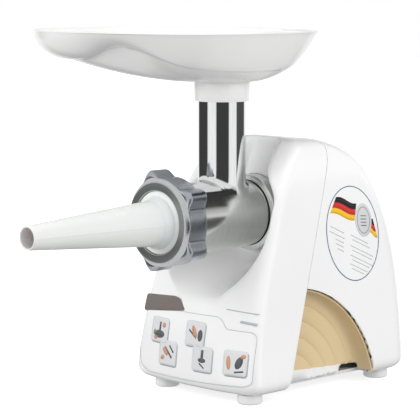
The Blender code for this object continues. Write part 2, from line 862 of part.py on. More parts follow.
def make_socket(machine):
    bore = spigot_radius + turn_gap
    outline = [
        (bore, socket_front_y),
        (socket_outer - 1 * mm, socket_front_y),
        (socket_outer, socket_front_y + 1 * mm),
        (socket_outer, socket_rear_y - 4 * mm),
        (socket_outer + 5 * mm, socket_rear_y - 4 * mm),
        (socket_outer + 5 * mm, socket_rear_y),
        (cup_radius + 3 * mm, socket_rear_y),
        (cup_radius + 3 * mm, socket_rear_y - 3 * mm),
        (bore, socket_rear_y - 3 * mm),
    ]
    place("head_socket", lathe(outline, 36), "aluminium", (0, 0, head_axis), along_y, machine)


def make_seal(pulled):
    start = shoulder_y + touch_gap
    end = socket_front_y - touch_gap
    seal = ring(spigot_radius + turn_gap, seal_outer, start, end, 36)
    place("head_seal", seal, "seal_rubber", (0, 0, 0), along_y, pulled)


def make_latch(machine):
    """Sliding keyhole plate round the socket, worked by a button on the left side."""
    sliding = empty("latch_slide", (0, 0, head_axis), parent=machine)
    low = (-latch_half, latch_y, -latch_half)
    plate = place(
        "latch_plate", block(low, (latch_half, latch_y + latch_sheet, latch_half)), "steel", parent=sliding
    )
    reach = socket_outer + turn_gap + latch_travel / 2 + touch_gap
    hole = rod(reach, latch_y - 5 * mm, latch_y + 15 * mm, 36)
    hole = place("latch_hole_cutter", hole, "steel", (-latch_travel / 2, 0, 0), along_y, sliding)
    combine(plate, hole)
    middle_y = latch_y + latch_sheet / 2
    outer_x = half_width(head_axis) + button_proud
    outline = [
        (0, latch_half + touch_gap),
        (stem_radius, latch_half + touch_gap),
        (stem_radius, outer_x - button_length),
        (button_radius, outer_x - button_length),
        (button_radius, outer_x - 1 * mm),
        (button_radius - 1 * mm, outer_x),
        (0, outer_x),
    ]
    turned = (0, math.radians(-90), 0)
    place("release_button", lathe(outline, 20), "grey_plastic", (0, middle_y, 0), turned, sliding)
    make_spring(
        "latch_spring",
        (latch_half + latch_travel + touch_gap, middle_y, head_axis),
        (0, math.radians(90), 0),
        (2.2 * mm, 0.4 * mm, half_width(head_axis) - wall - 3 * mm - latch_half - latch_travel, 5),
        machine,
    )
    return middle_y


def make_spring(name, at, turned, sizes, parent):
    """A wire coil along local Z: mean radius, wire radius, length and number of turns."""
    radius, wire, length, turns = sizes
    steps = turns * 8
    rings = []
    for i in range(steps + 1):
        turn = math.tau * turns * i / steps
        rise = wire + (length - 2 * wire) * i / steps
        out = Vector((math.cos(turn), math.sin(turn), 0))
        middle = out * radius + Vector((0, 0, rise))
        points = []
        for k in range(4):
            angle = math.tau * k / 4
            points.append(middle + out * wire * math.cos(angle) + Vector((0, 0, wire * math.sin(angle))))
        rings.append(points)
    return place(name, loft(rings), "steel", at, turned, parent)


# Gearbox


def gear_outline(teeth, module, shift):
    """Teeth with straight flanks along the chord of their involute, thinned for backlash."""
    pressure = math.radians(20)
    pitch = teeth * module / 2
    base = pitch * math.cos(pressure)
    root = pitch - 1.2 * module
    tip = pitch + 0.95 * module
    half_tooth = math.pi / (2 * teeth) * (1 - gear_backlash)
    unwound = math.tan(pressure) - pressure

    def half_angle(radius):
        if radius <= base:
            return half_tooth + unwound
        slope = math.acos(base / radius)
        return half_tooth + unwound - (math.tan(slope) - slope)

    outline = []
    for tooth in range(teeth):
        middle = math.tau * (tooth + shift) / teeth
        flank = [(root, -half_angle(root)), (tip, -half_angle(tip))]
        flank += [(tip, half_angle(tip)), (root, half_angle(root))]
        outline += [(r * math.cos(middle + a), r * math.sin(middle + a)) for r, a in flank]
    return outline


def make_gear(name, teeth, module, shift, bore, start, width, slot, parent):
    wheel = place(name, prism(gear_outline(teeth, module, shift), start, start + width), slot)
    wheel.parent = parent
    wheel.rotation_euler = along_y
    cutter = place(name + "_bore", rod(bore, start - 5 * mm, start + width + 5 * mm, 20), slot)
    cutter.parent = parent
    cutter.rotation_euler = along_y
    return combine(wheel, cutter)


def step_down(start, lean, module, teeth):
    """The next shaft's centre, at meshing distance and at an angle from straight down."""
    distance = module * sum(teeth) / 2
    return start[0] + distance * math.sin(lean), start[1] - distance * math.cos(lean)


def shaft_centres():
    spindle = (0, head_axis)
    second = step_down(spindle, final_lean, final_module, final_teeth)
    first = step_down(second, middle_lean, middle_module, middle_teeth)
    motor = step_down(first, first_lean, first_module, first_teeth)
    return {"spindle": spindle, "second": second, "first": first, "motor": motor}


def mesh_shift(lean, teeth, other, other_shift):
    """Tooth offset that puts this gear's gap against the other gear's tooth on the centre line."""
    # With local Z along +Y, a shaft to shaft direction at angle "lean" from straight down is this far
    # round from local X.
    toward = math.radians(90) - lean
    back = toward + math.pi
    tooth_place = (toward / math.tau * other - other_shift) % 1.0
    wanted = 0.5 - tooth_place
    return (back / math.tau * teeth - wanted) % 1.0


def make_gearbox(machine, centres):
    """Two plates, the output spindle and two layshafts; returns the motor pinion's tooth offset."""
    make_gear_plate("gearbox_front_plate", front_plate_y, centres, ("spindle", "second", "first"), machine)
    make_gear_plate("gearbox_rear_plate", rear_plate_y, centres, tuple(centres), machine)
    x, z = centres["spindle"]
    spinning = empty("spindle_spin", (x, 0, z), parent=machine)
    outline = [
        (shank_radius + turn_gap, cup_y),
        (cup_radius, cup_y),
        (cup_radius, front_plate_y - 0.5 * mm),
        (spindle_radius, front_plate_y - 0.5 * mm),
        (spindle_radius, rear_plate_y + plate_sheet + 1 * mm),
        (0, rear_plate_y + plate_sheet + 1 * mm),
        (0, shank_end_y + 1 * mm),
        (shank_radius + turn_gap, shank_end_y + 1 * mm),
    ]
    place("drive_spindle", lathe(outline, 24), "steel", (0, 0, 0), along_y, spinning)
    make_gear(
        "output_gear", final_teeth[1], final_module, 0, spindle_radius + touch_gap, final_y, final_width,
        "gear_plastic", spinning,
    )
    for name, start in (("spindle_bush_front", front_plate_y), ("spindle_bush_rear", rear_plate_y)):
        bush = ring(spindle_radius + touch_gap, bush_outer, start, start + plate_sheet)
        place(name, bush, "bronze", (x, 0, z), along_y, machine)
    second = layshaft(
        "second", final_teeth, final_module, final_lean, 0, final_y, final_width, centres, machine
    )
    wheel_shift = second[1]
    make_gear(
        "second_gear", middle_teeth[1], middle_module, wheel_shift, layshaft_radius + touch_gap, middle_y,
        middle_width, "gear_plastic", second[0],
    )
    first = layshaft(
        "first",
        middle_teeth,
        middle_module,
        middle_lean,
        wheel_shift,
        middle_y,
        middle_width,
        centres,
        machine,
    )
    wheel_shift = first[1]
    make_gear(
        "first_gear", first_teeth[1], first_module, wheel_shift, layshaft_radius + touch_gap, first_y,
        first_width, "gear_plastic", first[0],
    )
    return mesh_shift(first_lean, first_teeth[0], first_teeth[1], wheel_shift)


def make_gear_plate(name, start, centres, shafts, machine):
    outline = [
        (plate_half_width - 15 * mm, plate_bottom),
        (plate_half_width, plate_bottom + 15 * mm),
        (plate_half_width, plate_top - 20 * mm),
        (plate_half_width - 20 * mm, plate_top),
    ]
    outline += [(-x, z) for x, z in reversed(outline)]
    turned = (math.radians(90), 0, 0)
    sheet = prism(outline, -plate_sheet, 0)
    plate = place(name, sheet, "aluminium", (0, start, 0), turned, machine)
    holes = {
        "spindle": bush_outer + touch_gap,
        "second": layshaft_radius + turn_gap,
        "first": layshaft_radius + turn_gap,
        "motor": bearing_outer + touch_gap,
    }
    for shaft in shafts:
        x, z = centres[shaft]
        hole = rod(holes[shaft], start - 5 * mm, start + 10 * mm)
        combine(plate, place(name + "_" + shaft, hole, "steel", (x, 0, z), along_y, machine))


def layshaft(which, teeth, module, lean, other_shift, start, width, centres, machine):
    """A plain shaft between the plates with its small pinion cut on it; returns its empty and offset."""
    x, z = centres[which]
    spinning = empty(which + "_layshaft_spin", (x, 0, z), parent=machine)
    shift = mesh_shift(lean, teeth[0], teeth[1], other_shift)
    name = which + "_layshaft"
    shaft = rod(layshaft_radius, front_plate_y, rear_plate_y + plate_sheet, 16)
    shaft = place(name, shaft, "steel", (0, 0, 0), along_y, spinning)
    pinion = prism(gear_outline(teeth[0], module, shift), start - 0.5 * mm, start + width + 0.5 * mm)
    combine(shaft, place(name + "_pinion", pinion, "steel", (0, 0, 0), along_y, spinning), "UNION")
    return spinning, shift


# Motor


def make_motor(machine, centres, pinion_shift):
    x, z = centres["motor"]
    still = empty("motor_frame", (x, 0, z), parent=machine)
    spinning = empty("rotor_spin", (x, 0, z), parent=machine)
    make_rotor(spinning, pinion_shift)
    make_field(still)
    make_brushes(still)


def make_rotor(spinning, pinion_shift):
    pinion_start = first_y - 1 * mm
    shaft = rod(motor_shaft_radius, first_y + first_width, motor_shaft_end_y, 16)
    shaft = place("motor_shaft", shaft, "steel", (0, 0, 0), along_y, spinning)
    outline = gear_outline(first_teeth[0], first_module, pinion_shift)
    pinion = prism(outline, pinion_start, first_y + first_width + 1 * mm)
    pinion = place("motor_pinion_form", pinion, "steel", (0, 0, 0), along_y, spinning)
    combine(shaft, pinion, "UNION")
    bore = motor_shaft_radius + touch_gap
    start = stator_y - 0.5 * mm
    end = stator_y + stator_length + 0.5 * mm
    core_outline = []
    for slot in range(armature_slots):
        middle = math.tau * slot / armature_slots
        for radius, angle in (
            (armature_radius - 5 * mm, -12.5),
            (armature_radius, -11.5),
            (armature_radius, 0),
            (armature_radius, 11.5),
            (armature_radius - 5 * mm, 12.5),
        ):
            spot = middle + math.radians(angle)
            core_outline.append((radius * math.cos(spot), radius * math.sin(spot)))
    core = place("armature_core", prism(core_outline, start, end), "steel", (0, 0, 0), along_y, spinning)
    combine(core, place("armature_bore", rod(bore, start - 5 * mm, end + 5 * mm, 16), "steel",
                        (0, 0, 0), along_y, spinning))
    for name, low, high in (
        ("armature_winding_front", fan_y + fan_width + touch_gap, start - touch_gap),
        ("armature_winding_rear", end + touch_gap, commutator_y - touch_gap),
    ):
        outline = [
            (bore + 1 * mm, low),
            (winding_radius - 2 * mm, low),
            (winding_radius, low + 2 * mm),
            (winding_radius, high - 1 * mm),
            (winding_radius - 1 * mm, high),
            (bore + 1 * mm, high),
        ]
        place(name, lathe(outline, 24), "copper", (0, 0, 0), along_y, spinning)
    drum = ring(bore, commutator_radius, commutator_y, commutator_y + commutator_length)
    place("commutator", drum, "copper", (0, 0, 0), along_y, spinning)
    make_fan(spinning, bore)


def make_fan(spinning, bore):
    disc = ring(bore, fan_radius, fan_y, fan_y + 1.6 * mm, 32)
    fan = place("cooling_fan", disc, "dark_plastic", (0, 0, 0), along_y, spinning)
    blades = bmesh.new()
    for i in range(fan_blades):
        turn = Matrix.Rotation(math.tau * i / fan_blades, 4, "Z")
        low = (bore + 7 * mm, -0.8 * mm, fan_y + 1 * mm)
        blade = block(low, (fan_radius - 1 * mm, 0.8 * mm, fan_y + fan_width))
        bmesh.ops.transform(blade, matrix=turn, verts=blade.verts)
        data = bpy.data.meshes.new("fan_blade_form")
        blade.to_mesh(data)
        blade.free()
        blades.from_mesh(data)
        bpy.data.meshes.remove(data)
    combine(fan, place("fan_blade_forms", blades, "dark_plastic", (0, 0, 0), along_y, spinning), "UNION")


def make_field(still):
    """Laminated stator with two poles, its two coils, and the brackets and bearings at its ends."""
    outline = [(stator_radius * math.cos(math.tau * i / 36), stator_radius * math.sin(math.tau * i / 36))
               for i in range(36)]
    end = stator_y + stator_length
    stator = place("stator_core", prism(outline, stator_y, end), "steel", (0, 0, 0), along_y, still)
    bore = rod(pole_bore, stator_y - 5 * mm, end + 5 * mm, 32)
    combine(stator, place("stator_bore_cutter", bore, "steel", (0, 0, 0), along_y, still))
    for side in (-1, 1):
        window = []
        for radius, angle in [(slot_bore, a) for a in range(-42, 43, 12)] + [(pole_bore - 2 * mm, 42),
                                                                             (pole_bore - 2 * mm, -42)]:
            spot = math.radians(angle + (0 if side > 0 else 180))
            window.append((radius * math.cos(spot), radius * math.sin(spot)))
        cutter = place("stator_slot_cutter_" + ("right" if side > 0 else "left"),
                       prism(window, stator_y - 5 * mm, end + 5 * mm), "steel", (0, 0, 0), along_y, still)
        combine(stator, cutter)
    for name, up in (("field_coil_upper", 1), ("field_coil_lower", -1)):
        make_coil(name, up, still)
    bearing_starts = {"front": rear_plate_y + 1 * mm, "rear": motor_rear_y - 1 * mm}
    brackets = {
        "front": (rear_plate_y + plate_sheet + touch_gap, bearing_starts["front"] + bearing_width),
        "rear": (motor_rear_y, motor_rear_y + bracket_sheet),
    }
    for where in ("front", "rear"):
        start, stop = brackets[where]
        disc = ring(bearing_outer + touch_gap, stator_radius, start, stop)
        place("motor_bracket_" + where, disc, "aluminium", (0, 0, 0), along_y, still)
        low = bearing_starts[where]
        bearing = ring(motor_shaft_radius + touch_gap, bearing_outer, low, low + bearing_width, 20)
        place("motor_bearing_" + where, bearing, "steel", (0, 0, 0), along_y, still)


def make_coil(name, up, still):
    """One field coil: it runs through both slots and round the ends of its pole."""
    low, high = stator_y - coil_overhang, stator_y + stator_length + coil_overhang
    coil = place(name, ring(coil_inner, coil_outer, low, high, 32), "copper", (0, 0, 0), along_y, still)
    reach = 60 * mm
    level = 3 * mm
    # Local Y points down once local Z lies along +Y.
    if up > 0:
        half = block((-reach, -level, low - reach), (reach, reach, high + reach))
    else:
        half = block((-reach, -reach, low - reach), (reach, level, high + reach))
    combine(coil, place(name + "_half_cutter", half, "copper", (0, 0, 0), along_y, still))
    side = coil_inner + 0.2 * mm
    window = block(
        (-side, -reach, stator_y - touch_gap * 2), (side, reach, stator_y + stator_length + touch_gap * 2)
    )
    combine(coil, place(name + "_window_cutter", window, "copper", (0, 0, 0), along_y, still))
    return coil


def make_brushes(still):
    middle_y = commutator_y + commutator_length / 2
    for name, side in (("left", -1), ("right", 1)):
        spot = empty("brush_" + name, (0, middle_y, 0), (0, 0, 0 if side > 0 else math.pi), still)
        half_w, half_h = brush_width / 2, brush_height / 2
        start = commutator_radius + touch_gap
        low = (start, -half_w, -half_h)
        brush = block(low, (start + brush_length, half_w, half_h))
        place("carbon_brush_" + name, brush, "carbon", parent=spot)
        outer_w = half_w + touch_gap + holder_wall
        outer_h = half_h + touch_gap + holder_wall
        shape = block((holder_start, -outer_w, -outer_h), (holder_start + holder_length, outer_w, outer_h))
        holder = place("brush_holder_" + name, shape, "bronze", parent=spot)
        hole_w, hole_h = half_w + touch_gap, half_h + touch_gap
        hole = block((0, -hole_w, -hole_h), (60 * mm, hole_w, hole_h))
        combine(holder, place("brush_hole_" + name, hole, "bronze", parent=spot))


# Controls and cord inlet


def make_controls(machine, rear_shell):
    """Bezel with a power rocker and a reverse button, let into the left side of the rear shell."""
    lean = math.atan(side_taper)
    at = (-half_width(control_z), control_y, control_z)
    panel = empty("control_panel", at, (0, math.radians(-90) + lean, 0), machine)
    # Local Z points out of the side, local Y backwards and local X upwards.
    half_w, half_h = bezel_width / 2, bezel_height / 2
    depth = -bezel_depth
    shape = block((-half_h, -half_w, depth), (half_h, half_w, bezel_proud))
    bmesh.ops.bevel(
        shape,
        geom=[e for e in shape.edges if abs(e.verts[0].co.z - e.verts[1].co.z) > 1 * mm],
        offset=6 * mm,
        segments=4,
        affect="EDGES",
        profile=0.5,
    )
    bezel = place("control_bezel", shape, "grey_plastic", parent=panel)
    opening = block(
        (-half_h - touch_gap, -half_w - touch_gap, -30 * mm),
        (half_h + touch_gap, half_w + touch_gap, 30 * mm),
    )
    bmesh.ops.bevel(
        opening,
        geom=[e for e in opening.edges if abs(e.verts[0].co.z - e.verts[1].co.z) > 1 * mm],
        offset=6 * mm,
        segments=4,
        affect="EDGES",
        profile=0.5,
    )
    combine(rear_shell, place("control_opening", opening, "grey_plastic", parent=panel))
    width, height = rocker_width / 2, rocker_height / 2
    hole = block(
        (rocker_offset - height - 1.5 * mm, -width - turn_gap, -40 * mm),
        (rocker_offset + height + 1.5 * mm, width + turn_gap, 40 * mm),
    )
    combine(bezel, place("rocker_hole", hole, "grey_plastic", parent=panel))
    hole = rod(reverse_radius + turn_gap, -40 * mm, 40 * mm)
    combine(bezel, place("reverse_hole", hole, "grey_plastic", (reverse_offset, 0, 0), parent=panel))
    make_rocker(panel, width, height)
    make_reverse_button(panel)
    deep = depth - switch_depth
    low = (rocker_offset - 12 * mm, -9 * mm, deep)
    shape = block(low, (rocker_offset + 12 * mm, 9 * mm, depth - 2 * mm))
    place("power_switch", shape, "dark_plastic", parent=panel)
    shape = block(
        (reverse_offset - 8 * mm, -7 * mm, deep), (reverse_offset + 8 * mm, 7 * mm, depth - 2 * mm)
    )
    place("reverse_switch", shape, "dark_plastic", parent=panel)


def make_rocker(panel, width, height):
    """A rocker with two flat faces that meet in a shallow V, drawn with its lower end pressed."""
    hinge = empty("rocker_hinge", (rocker_offset, 0, -2 * mm), (0, rocker_tilt, 0), panel)
    rise, dip, under = 5.2 * mm, 3.6 * mm, -2.4 * mm
    outline = [(-height, under + 2 * mm), (-height, rise), (0, dip), (height, rise), (height, under + 2 * mm)]
    outline += [(height - 5 * mm, under), (-height + 5 * mm, under)]
    shape = prism(outline, -width, width)
    place("power_rocker", shape, "dark_plastic", (0, 0, 0), (math.radians(90), 0, 0), hinge)


def make_reverse_button(panel):
    pressed = empty("reverse_slide", (reverse_offset, 0, 0), parent=panel)
    rise = bezel_proud + 3 * mm
    outline = [
        (0, -bezel_depth + 2 * mm),
        (reverse_radius, -bezel_depth + 2 * mm),
        (reverse_radius, rise - 1 * mm),
        (reverse_radius - 1 * mm, rise),
        (0, rise - 0.5 * mm),
    ]
    place("reverse_button", lathe(outline, 24), "dark_plastic", parent=pressed)


def make_inlet(machine, rear_shell):
    """Bushed hole for the mains lead, flush with the back of the rear shell."""
    outer = rear_y(inlet_z) - 0.5 * mm
    inner = outer - wall - 6 * mm
    outline = [
        (cord_hole, inner),
        (inlet_radius, inner),
        (inlet_radius, outer - 1 * mm),
        (inlet_radius - 1 * mm, outer),
        (cord_hole + 1 * mm, outer),
        (cord_hole, outer - 1 * mm),
    ]
    place("cord_inlet_bush", lathe(outline, 20), "dark_plastic", (inlet_x, 0, inlet_z), along_y, machine)
    hole = rod(inlet_radius + touch_gap, inner, outer + 20 * mm, 20)
    combine(rear_shell, place("inlet_cutter", hole, "dark_plastic", (inlet_x, 0, inlet_z), along_y, machine))


def machine_shift():
    """Moves the middle of the whole outline over the origin."""
    left = tray_centre_x - tray_half_length
    right = max(base_half_width - side_taper * base_fillet, tray_centre_x + tray_half_length)
    front = tube_end_y
    back = ridge_y + rear_reach
    return -(left + right) / 2, -(front + back) / 2


def main():
    clear_scene()
    shift_x, shift_y = machine_shift()
    machine = empty("machine", (shift_x, shift_y, 0))
    front_shell, rear_shell = make_housing(machine)
    for side in (1, -1):
        make_arch_panel(side, machine)
    make_base(machine)
    make_feet(machine)
    make_socket(machine)
    button_y = make_latch(machine)
    start = half_width(head_axis) + button_proud - button_length - latch_travel - 1 * mm
    hole = rod(button_radius + turn_gap, start, start + 40 * mm, 32)
    turned = (0, math.radians(-90), 0)
    hole = place("button_hole", hole, "grey_plastic", (0, button_y, head_axis), turned, machine)
    combine(front_shell, hole)
    centres = shaft_centres()
    pinion_shift = make_gearbox(machine, centres)
    make_motor(machine, centres, pinion_shift)
    make_controls(machine, rear_shell)
    make_inlet(machine, rear_shell)
    pulled = empty("head_pull", (0, 0, head_axis), parent=machine)
    make_seal(pulled)
    head = empty("head_turn", (0, 0, 0), parent=pulled)
    make_chamber(head)
    make_plate(head)
    spinning = empty("auger_spin", (0, 0, 0), parent=head)
    make_auger(spinning)
    make_knife(spinning)
    sliding = empty("tube_travel", (0, 0, 0), parent=head)
    make_sausage_tube(sliding)
    make_nut(empty("nut_turn", (0, 0, 0), parent=sliding))
    make_tray(empty("tray_lift", (0, 0, 0), parent=head))


main()
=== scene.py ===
import math

import bmesh
import bpy
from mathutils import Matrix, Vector


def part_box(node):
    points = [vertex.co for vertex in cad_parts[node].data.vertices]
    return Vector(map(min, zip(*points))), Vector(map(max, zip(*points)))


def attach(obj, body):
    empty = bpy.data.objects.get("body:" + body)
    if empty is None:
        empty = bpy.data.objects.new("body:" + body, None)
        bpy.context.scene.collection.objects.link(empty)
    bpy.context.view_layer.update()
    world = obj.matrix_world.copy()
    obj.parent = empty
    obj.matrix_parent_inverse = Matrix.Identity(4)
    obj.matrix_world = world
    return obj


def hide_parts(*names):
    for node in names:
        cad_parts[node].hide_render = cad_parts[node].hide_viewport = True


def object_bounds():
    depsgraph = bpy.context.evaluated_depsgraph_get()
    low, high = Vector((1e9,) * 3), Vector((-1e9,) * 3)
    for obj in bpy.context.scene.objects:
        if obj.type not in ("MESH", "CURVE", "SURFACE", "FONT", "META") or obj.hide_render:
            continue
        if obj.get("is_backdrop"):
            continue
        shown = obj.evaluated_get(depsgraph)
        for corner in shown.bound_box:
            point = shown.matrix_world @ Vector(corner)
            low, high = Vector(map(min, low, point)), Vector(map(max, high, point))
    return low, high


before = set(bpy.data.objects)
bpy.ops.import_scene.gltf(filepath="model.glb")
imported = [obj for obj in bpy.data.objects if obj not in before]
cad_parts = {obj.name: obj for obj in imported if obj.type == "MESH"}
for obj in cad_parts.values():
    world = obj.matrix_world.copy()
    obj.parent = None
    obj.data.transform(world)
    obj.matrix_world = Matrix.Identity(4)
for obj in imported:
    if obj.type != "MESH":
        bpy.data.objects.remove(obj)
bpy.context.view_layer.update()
mm = 0.001

# Every shape below is drawn in millimetres from two lines that cross: the grinder's own axis, which
# runs along Y, and the feed tube's axis, which runs along Z. Both are read from the frame.
plateLow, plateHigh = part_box("mincing_plate")
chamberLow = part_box("grinder_chamber")[0]
feedFromBarrelFront = 72.4  # mm from the barrel's front face back to the feed tube's axis
headX = (plateLow.x + plateHigh.x) / 2
headY = chamberLow.y + feedFromBarrelFront * mm
headZ = (plateLow.z + plateHigh.z) / 2 / mm


def inRow(point):
    return Vector((headX + point[0] * mm, headY + point[1] * mm, point[2] * mm))


def smoothStep(low, high, value):
    share = min(1.0, max(0.0, (value - low) / (high - low)))
    return share * share * (3 - 2 * share)


def bent(start, bend, end, t):
    return start * (1 - t) ** 2 + bend * 2 * t * (1 - t) + end * t * t


def softMax(a, b, width):
    near = max(width - abs(a - b), 0.0) / width
    return max(a, b) + near * near * width / 4


def softMin(a, b, width):
    return -softMax(-a, -b, width)


# Mesh tools


def skin(rows, wrap=True, loop=False, ends=False):
    # rows of equal length joined into quads; wrap closes each row, loop joins the last row to the first
    mesh = bmesh.new()
    lines = [[mesh.verts.new(point) for point in row] for row in rows]
    count = len(rows[0])
    for a in range(len(lines) if loop else len(lines) - 1):
        lower, upper = lines[a], lines[(a + 1) % len(lines)]
        for i in range(count if wrap else count - 1):
            j = (i + 1) % count
            mesh.faces.new((lower[i], lower[j], upper[j], upper[i]))
    if ends:
        mesh.faces.new(list(reversed(lines[0])))
        mesh.faces.new(lines[-1])
    return mesh


def turned(profile, steps, about="y", loop=False, wave=None):
    # a (radius, place) outline turned about the head's axis or the feed tube's axis
    rows = []
    for radius, along in profile:
        row = []
        for i in range(steps):
            turn = math.tau * i / steps
            reach = radius + (wave(turn, along) if wave else 0.0)
            if about == "y":
                row.append((reach * math.cos(turn), along, headZ + reach * math.sin(turn)))
            else:
                row.append((reach * math.cos(turn), reach * math.sin(turn), along))
        rows.append(row)
    mesh = skin(rows, loop=loop)
    bmesh.ops.remove_doubles(mesh, verts=mesh.verts, dist=1e-4)
    return mesh


def split(mesh, side, drop=True):
    # cuts the faces along side(point) = 0, exactly on the line, and drops the part where it is negative
    marks = {vert: side(vert.co) for vert in mesh.verts}
    onLine = {vert for vert, value in marks.items() if abs(value) < 1e-3}
    for edge in list(mesh.edges):
        a, b = edge.verts
        if a in onLine or b in onLine or marks[a] * marks[b] > 0:
            continue
        low, high = 0.0, 1.0
        start, end = a.co.copy(), b.co.copy()
        for _ in range(14):
            middle = (low + high) / 2
            if side(start.lerp(end, middle)) * marks[a] > 0:
                low = middle
            else:
                high = middle
        _, made = bmesh.utils.edge_split(edge, a, (low + high) / 2)
        made.co = start.lerp(end, (low + high) / 2)
        onLine.add(made)
    for face in list(mesh.faces):
        spots = [i for i, vert in enumerate(face.verts) if vert in onLine]
        if len(spots) < 2:
            continue
        first = spots[0]
        for i in spots[1:]:
            if i - first > 1 and not (first == 0 and i == len(face.verts) - 1):
                bmesh.utils.face_split(face, face.verts[first], face.verts[i])
                break
    if drop:
        gone = [face for face in mesh.faces if side(face.calc_center_median()) < 0]
        bmesh.ops.delete(mesh, geom=gone, context="FACES")
        loose = [vert for vert in mesh.verts if not vert.link_faces]
        bmesh.ops.delete(mesh, geom=loose, context="VERTS")
    return mesh


def joined(meshes):
    # several meshes as one, each with its own faces turned outwards
    whole = bmesh.new()
    for mesh in meshes:
        bmesh.ops.recalc_face_normals(mesh, faces=mesh.faces)
        data = bpy.data.meshes.new("part")
        mesh.to_mesh(data)
        mesh.free()
        whole.from_mesh(data)
        bpy.data.meshes.remove(data)
    return whole


def piece(name, mesh, material, body, stands=(), sharp=34, tidy=True):
    if tidy:
        bmesh.ops.recalc_face_normals(mesh, faces=mesh.faces)
    for vert in mesh.verts:
        vert.co = inRow(vert.co)
    data = bpy.data.meshes.new(name)
    mesh.to_mesh(data)
    mesh.free()
    data.shade_smooth()
    data.set_sharp_from_angle(angle=math.radians(sharp))
    data.materials.append(material)
    thing = bpy.data.objects.new(name, data)
    bpy.context.scene.collection.objects.link(thing)
    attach(thing, body)
    if stands:
        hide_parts(*stands)
    return thing


def thicken(thing, thickness, bevel=0.0):
    # walls inwards, away from the outer skin, with a small round on the rims
    wall = thing.modifiers.new("wall", "SOLIDIFY")
    wall.thickness = thickness * mm
    wall.offset = -1
    wall.use_even_offset = True
    wall.thickness_clamp = 0.6
    if bevel:
        rim = thing.modifiers.new("rim", "BEVEL")
        rim.width = bevel * mm
        rim.segments = 2
        rim.limit_method = "ANGLE"
        rim.angle_limit = math.radians(60)
        rim.harden_normals = False


# Shader groups that several finishes share


def newGroup(name, inputs, outputs):
    group = bpy.data.node_groups.new(name, "ShaderNodeTree")
    for label, kind, value in inputs:
        socket = group.interface.new_socket(label, in_out="INPUT", socket_type=kind)
        socket.default_value = value
    for label, kind in outputs:
        group.interface.new_socket(label, in_out="OUTPUT", socket_type=kind)
    start = group.nodes.new("NodeGroupInput")
    end = group.nodes.new("NodeGroupOutput")
    return group, start, end


def addNode(tree, kind, links=(), **settings):
    node = tree.nodes.new(kind)
    for key, value in settings.items():
        if key.startswith("in_"):
            label = key[3:].replace("_", " ")
            node.inputs[int(label) if label.isdigit() else label].default_value = value
        else:
            setattr(node, key, value)
    for socket, source in links:
        tree.links.new(source, node.inputs[socket])
    return node


def feed(tree, node, socket, source):
    if isinstance(source, bpy.types.NodeSocket):
        tree.links.new(source, node.inputs[socket])
    else:
        node.inputs[socket].default_value = source


def combine(tree, operation, first, second, clamp=False):
    node = addNode(tree, "ShaderNodeMath", operation=operation, use_clamp=clamp)
    feed(tree, node, 0, first)
    feed(tree, node, 1, second)
    return node.outputs[0]


def remap(tree, source, low, high, newLow=0.0, newHigh=1.0):
    limits = {"in_1": low, "in_2": high, "in_3": newLow, "in_4": newHigh}
    return addNode(tree, "ShaderNodeMapRange", [("Value", source)], **limits).outputs[0]


def noise(tree, spot, scale, detail, distortion=0.0):
    links = [("Vector", spot)]
    node = addNode(tree, "ShaderNodeTexNoise", links, in_Detail=detail, in_Distortion=distortion)
    feed(tree, node, "Scale", scale)
    return node.outputs["Fac"]


def mixColours(tree, factor, first, second):
    node = addNode(tree, "ShaderNodeMix", data_type="RGBA")
    for socket, source in ((0, factor), (6, first), (7, second)):  # the sockets that a colour mix uses
        feed(tree, node, socket, source)
    return node.outputs[2]


def objectPlace(tree):
    return addNode(tree, "ShaderNodeTexCoord").outputs["Object"]


def mouldedGroup():
    # moulded plastic: slow tone drift, a faint orange peel, fine pores and a little settled dust
    group, start, end = newGroup(
        "mouldedSurface",
        [
            ("Colour", "NodeSocketColor", (0.8, 0.8, 0.8, 1)),
            ("Drift", "NodeSocketFloat", 0.03),
            ("Gloss", "NodeSocketFloat", 0.25),
            ("Peel", "NodeSocketFloat", 0.3),
            ("Pore Scale", "NodeSocketFloat", 900.0),
            ("Dust", "NodeSocketFloat", 0.05),
        ],
        [("Colour", "NodeSocketColor"), ("Roughness", "NodeSocketFloat"), ("Height", "NodeSocketFloat")],
    )
    spot = objectPlace(group)
    slow = remap(group, noise(group, spot, 9.0, 3.0), 0.3, 0.7, -1.0, 1.0)
    value = combine(group, "ADD", combine(group, "MULTIPLY", slow, start.outputs["Drift"]), 1.0)
    tone = addNode(group, "ShaderNodeHueSaturation", [("Color", start.outputs["Colour"]), ("Value", value)])
    normal = addNode(group, "ShaderNodeNewGeometry").outputs["Normal"]
    up = addNode(group, "ShaderNodeSeparateXYZ", [(0, normal)]).outputs["Z"]
    settled = combine(group, "MULTIPLY", remap(group, up, 0.55, 1.0), noise(group, spot, 60.0, 6.0))
    dust = combine(group, "MULTIPLY", settled, start.outputs["Dust"])
    dusty = mixColours(group, dust, tone.outputs[0], (0.62, 0.6, 0.56, 1))
    group.links.new(dusty, end.inputs["Colour"])
    polish = remap(group, noise(group, spot, 22.0, 5.0), 0.35, 0.75, -0.03, 0.05)
    rough = combine(group, "ADD", start.outputs["Gloss"], polish)
    group.links.new(combine(group, "ADD", rough, dust, clamp=True), end.inputs["Roughness"])
    waves = combine(group, "MULTIPLY", noise(group, spot, 160.0, 1.0), start.outputs["Peel"])
    pores = combine(group, "MULTIPLY", noise(group, spot, start.outputs["Pore Scale"], 2.0), 0.25)
    group.links.new(combine(group, "ADD", waves, pores), end.inputs["Height"])
    return group


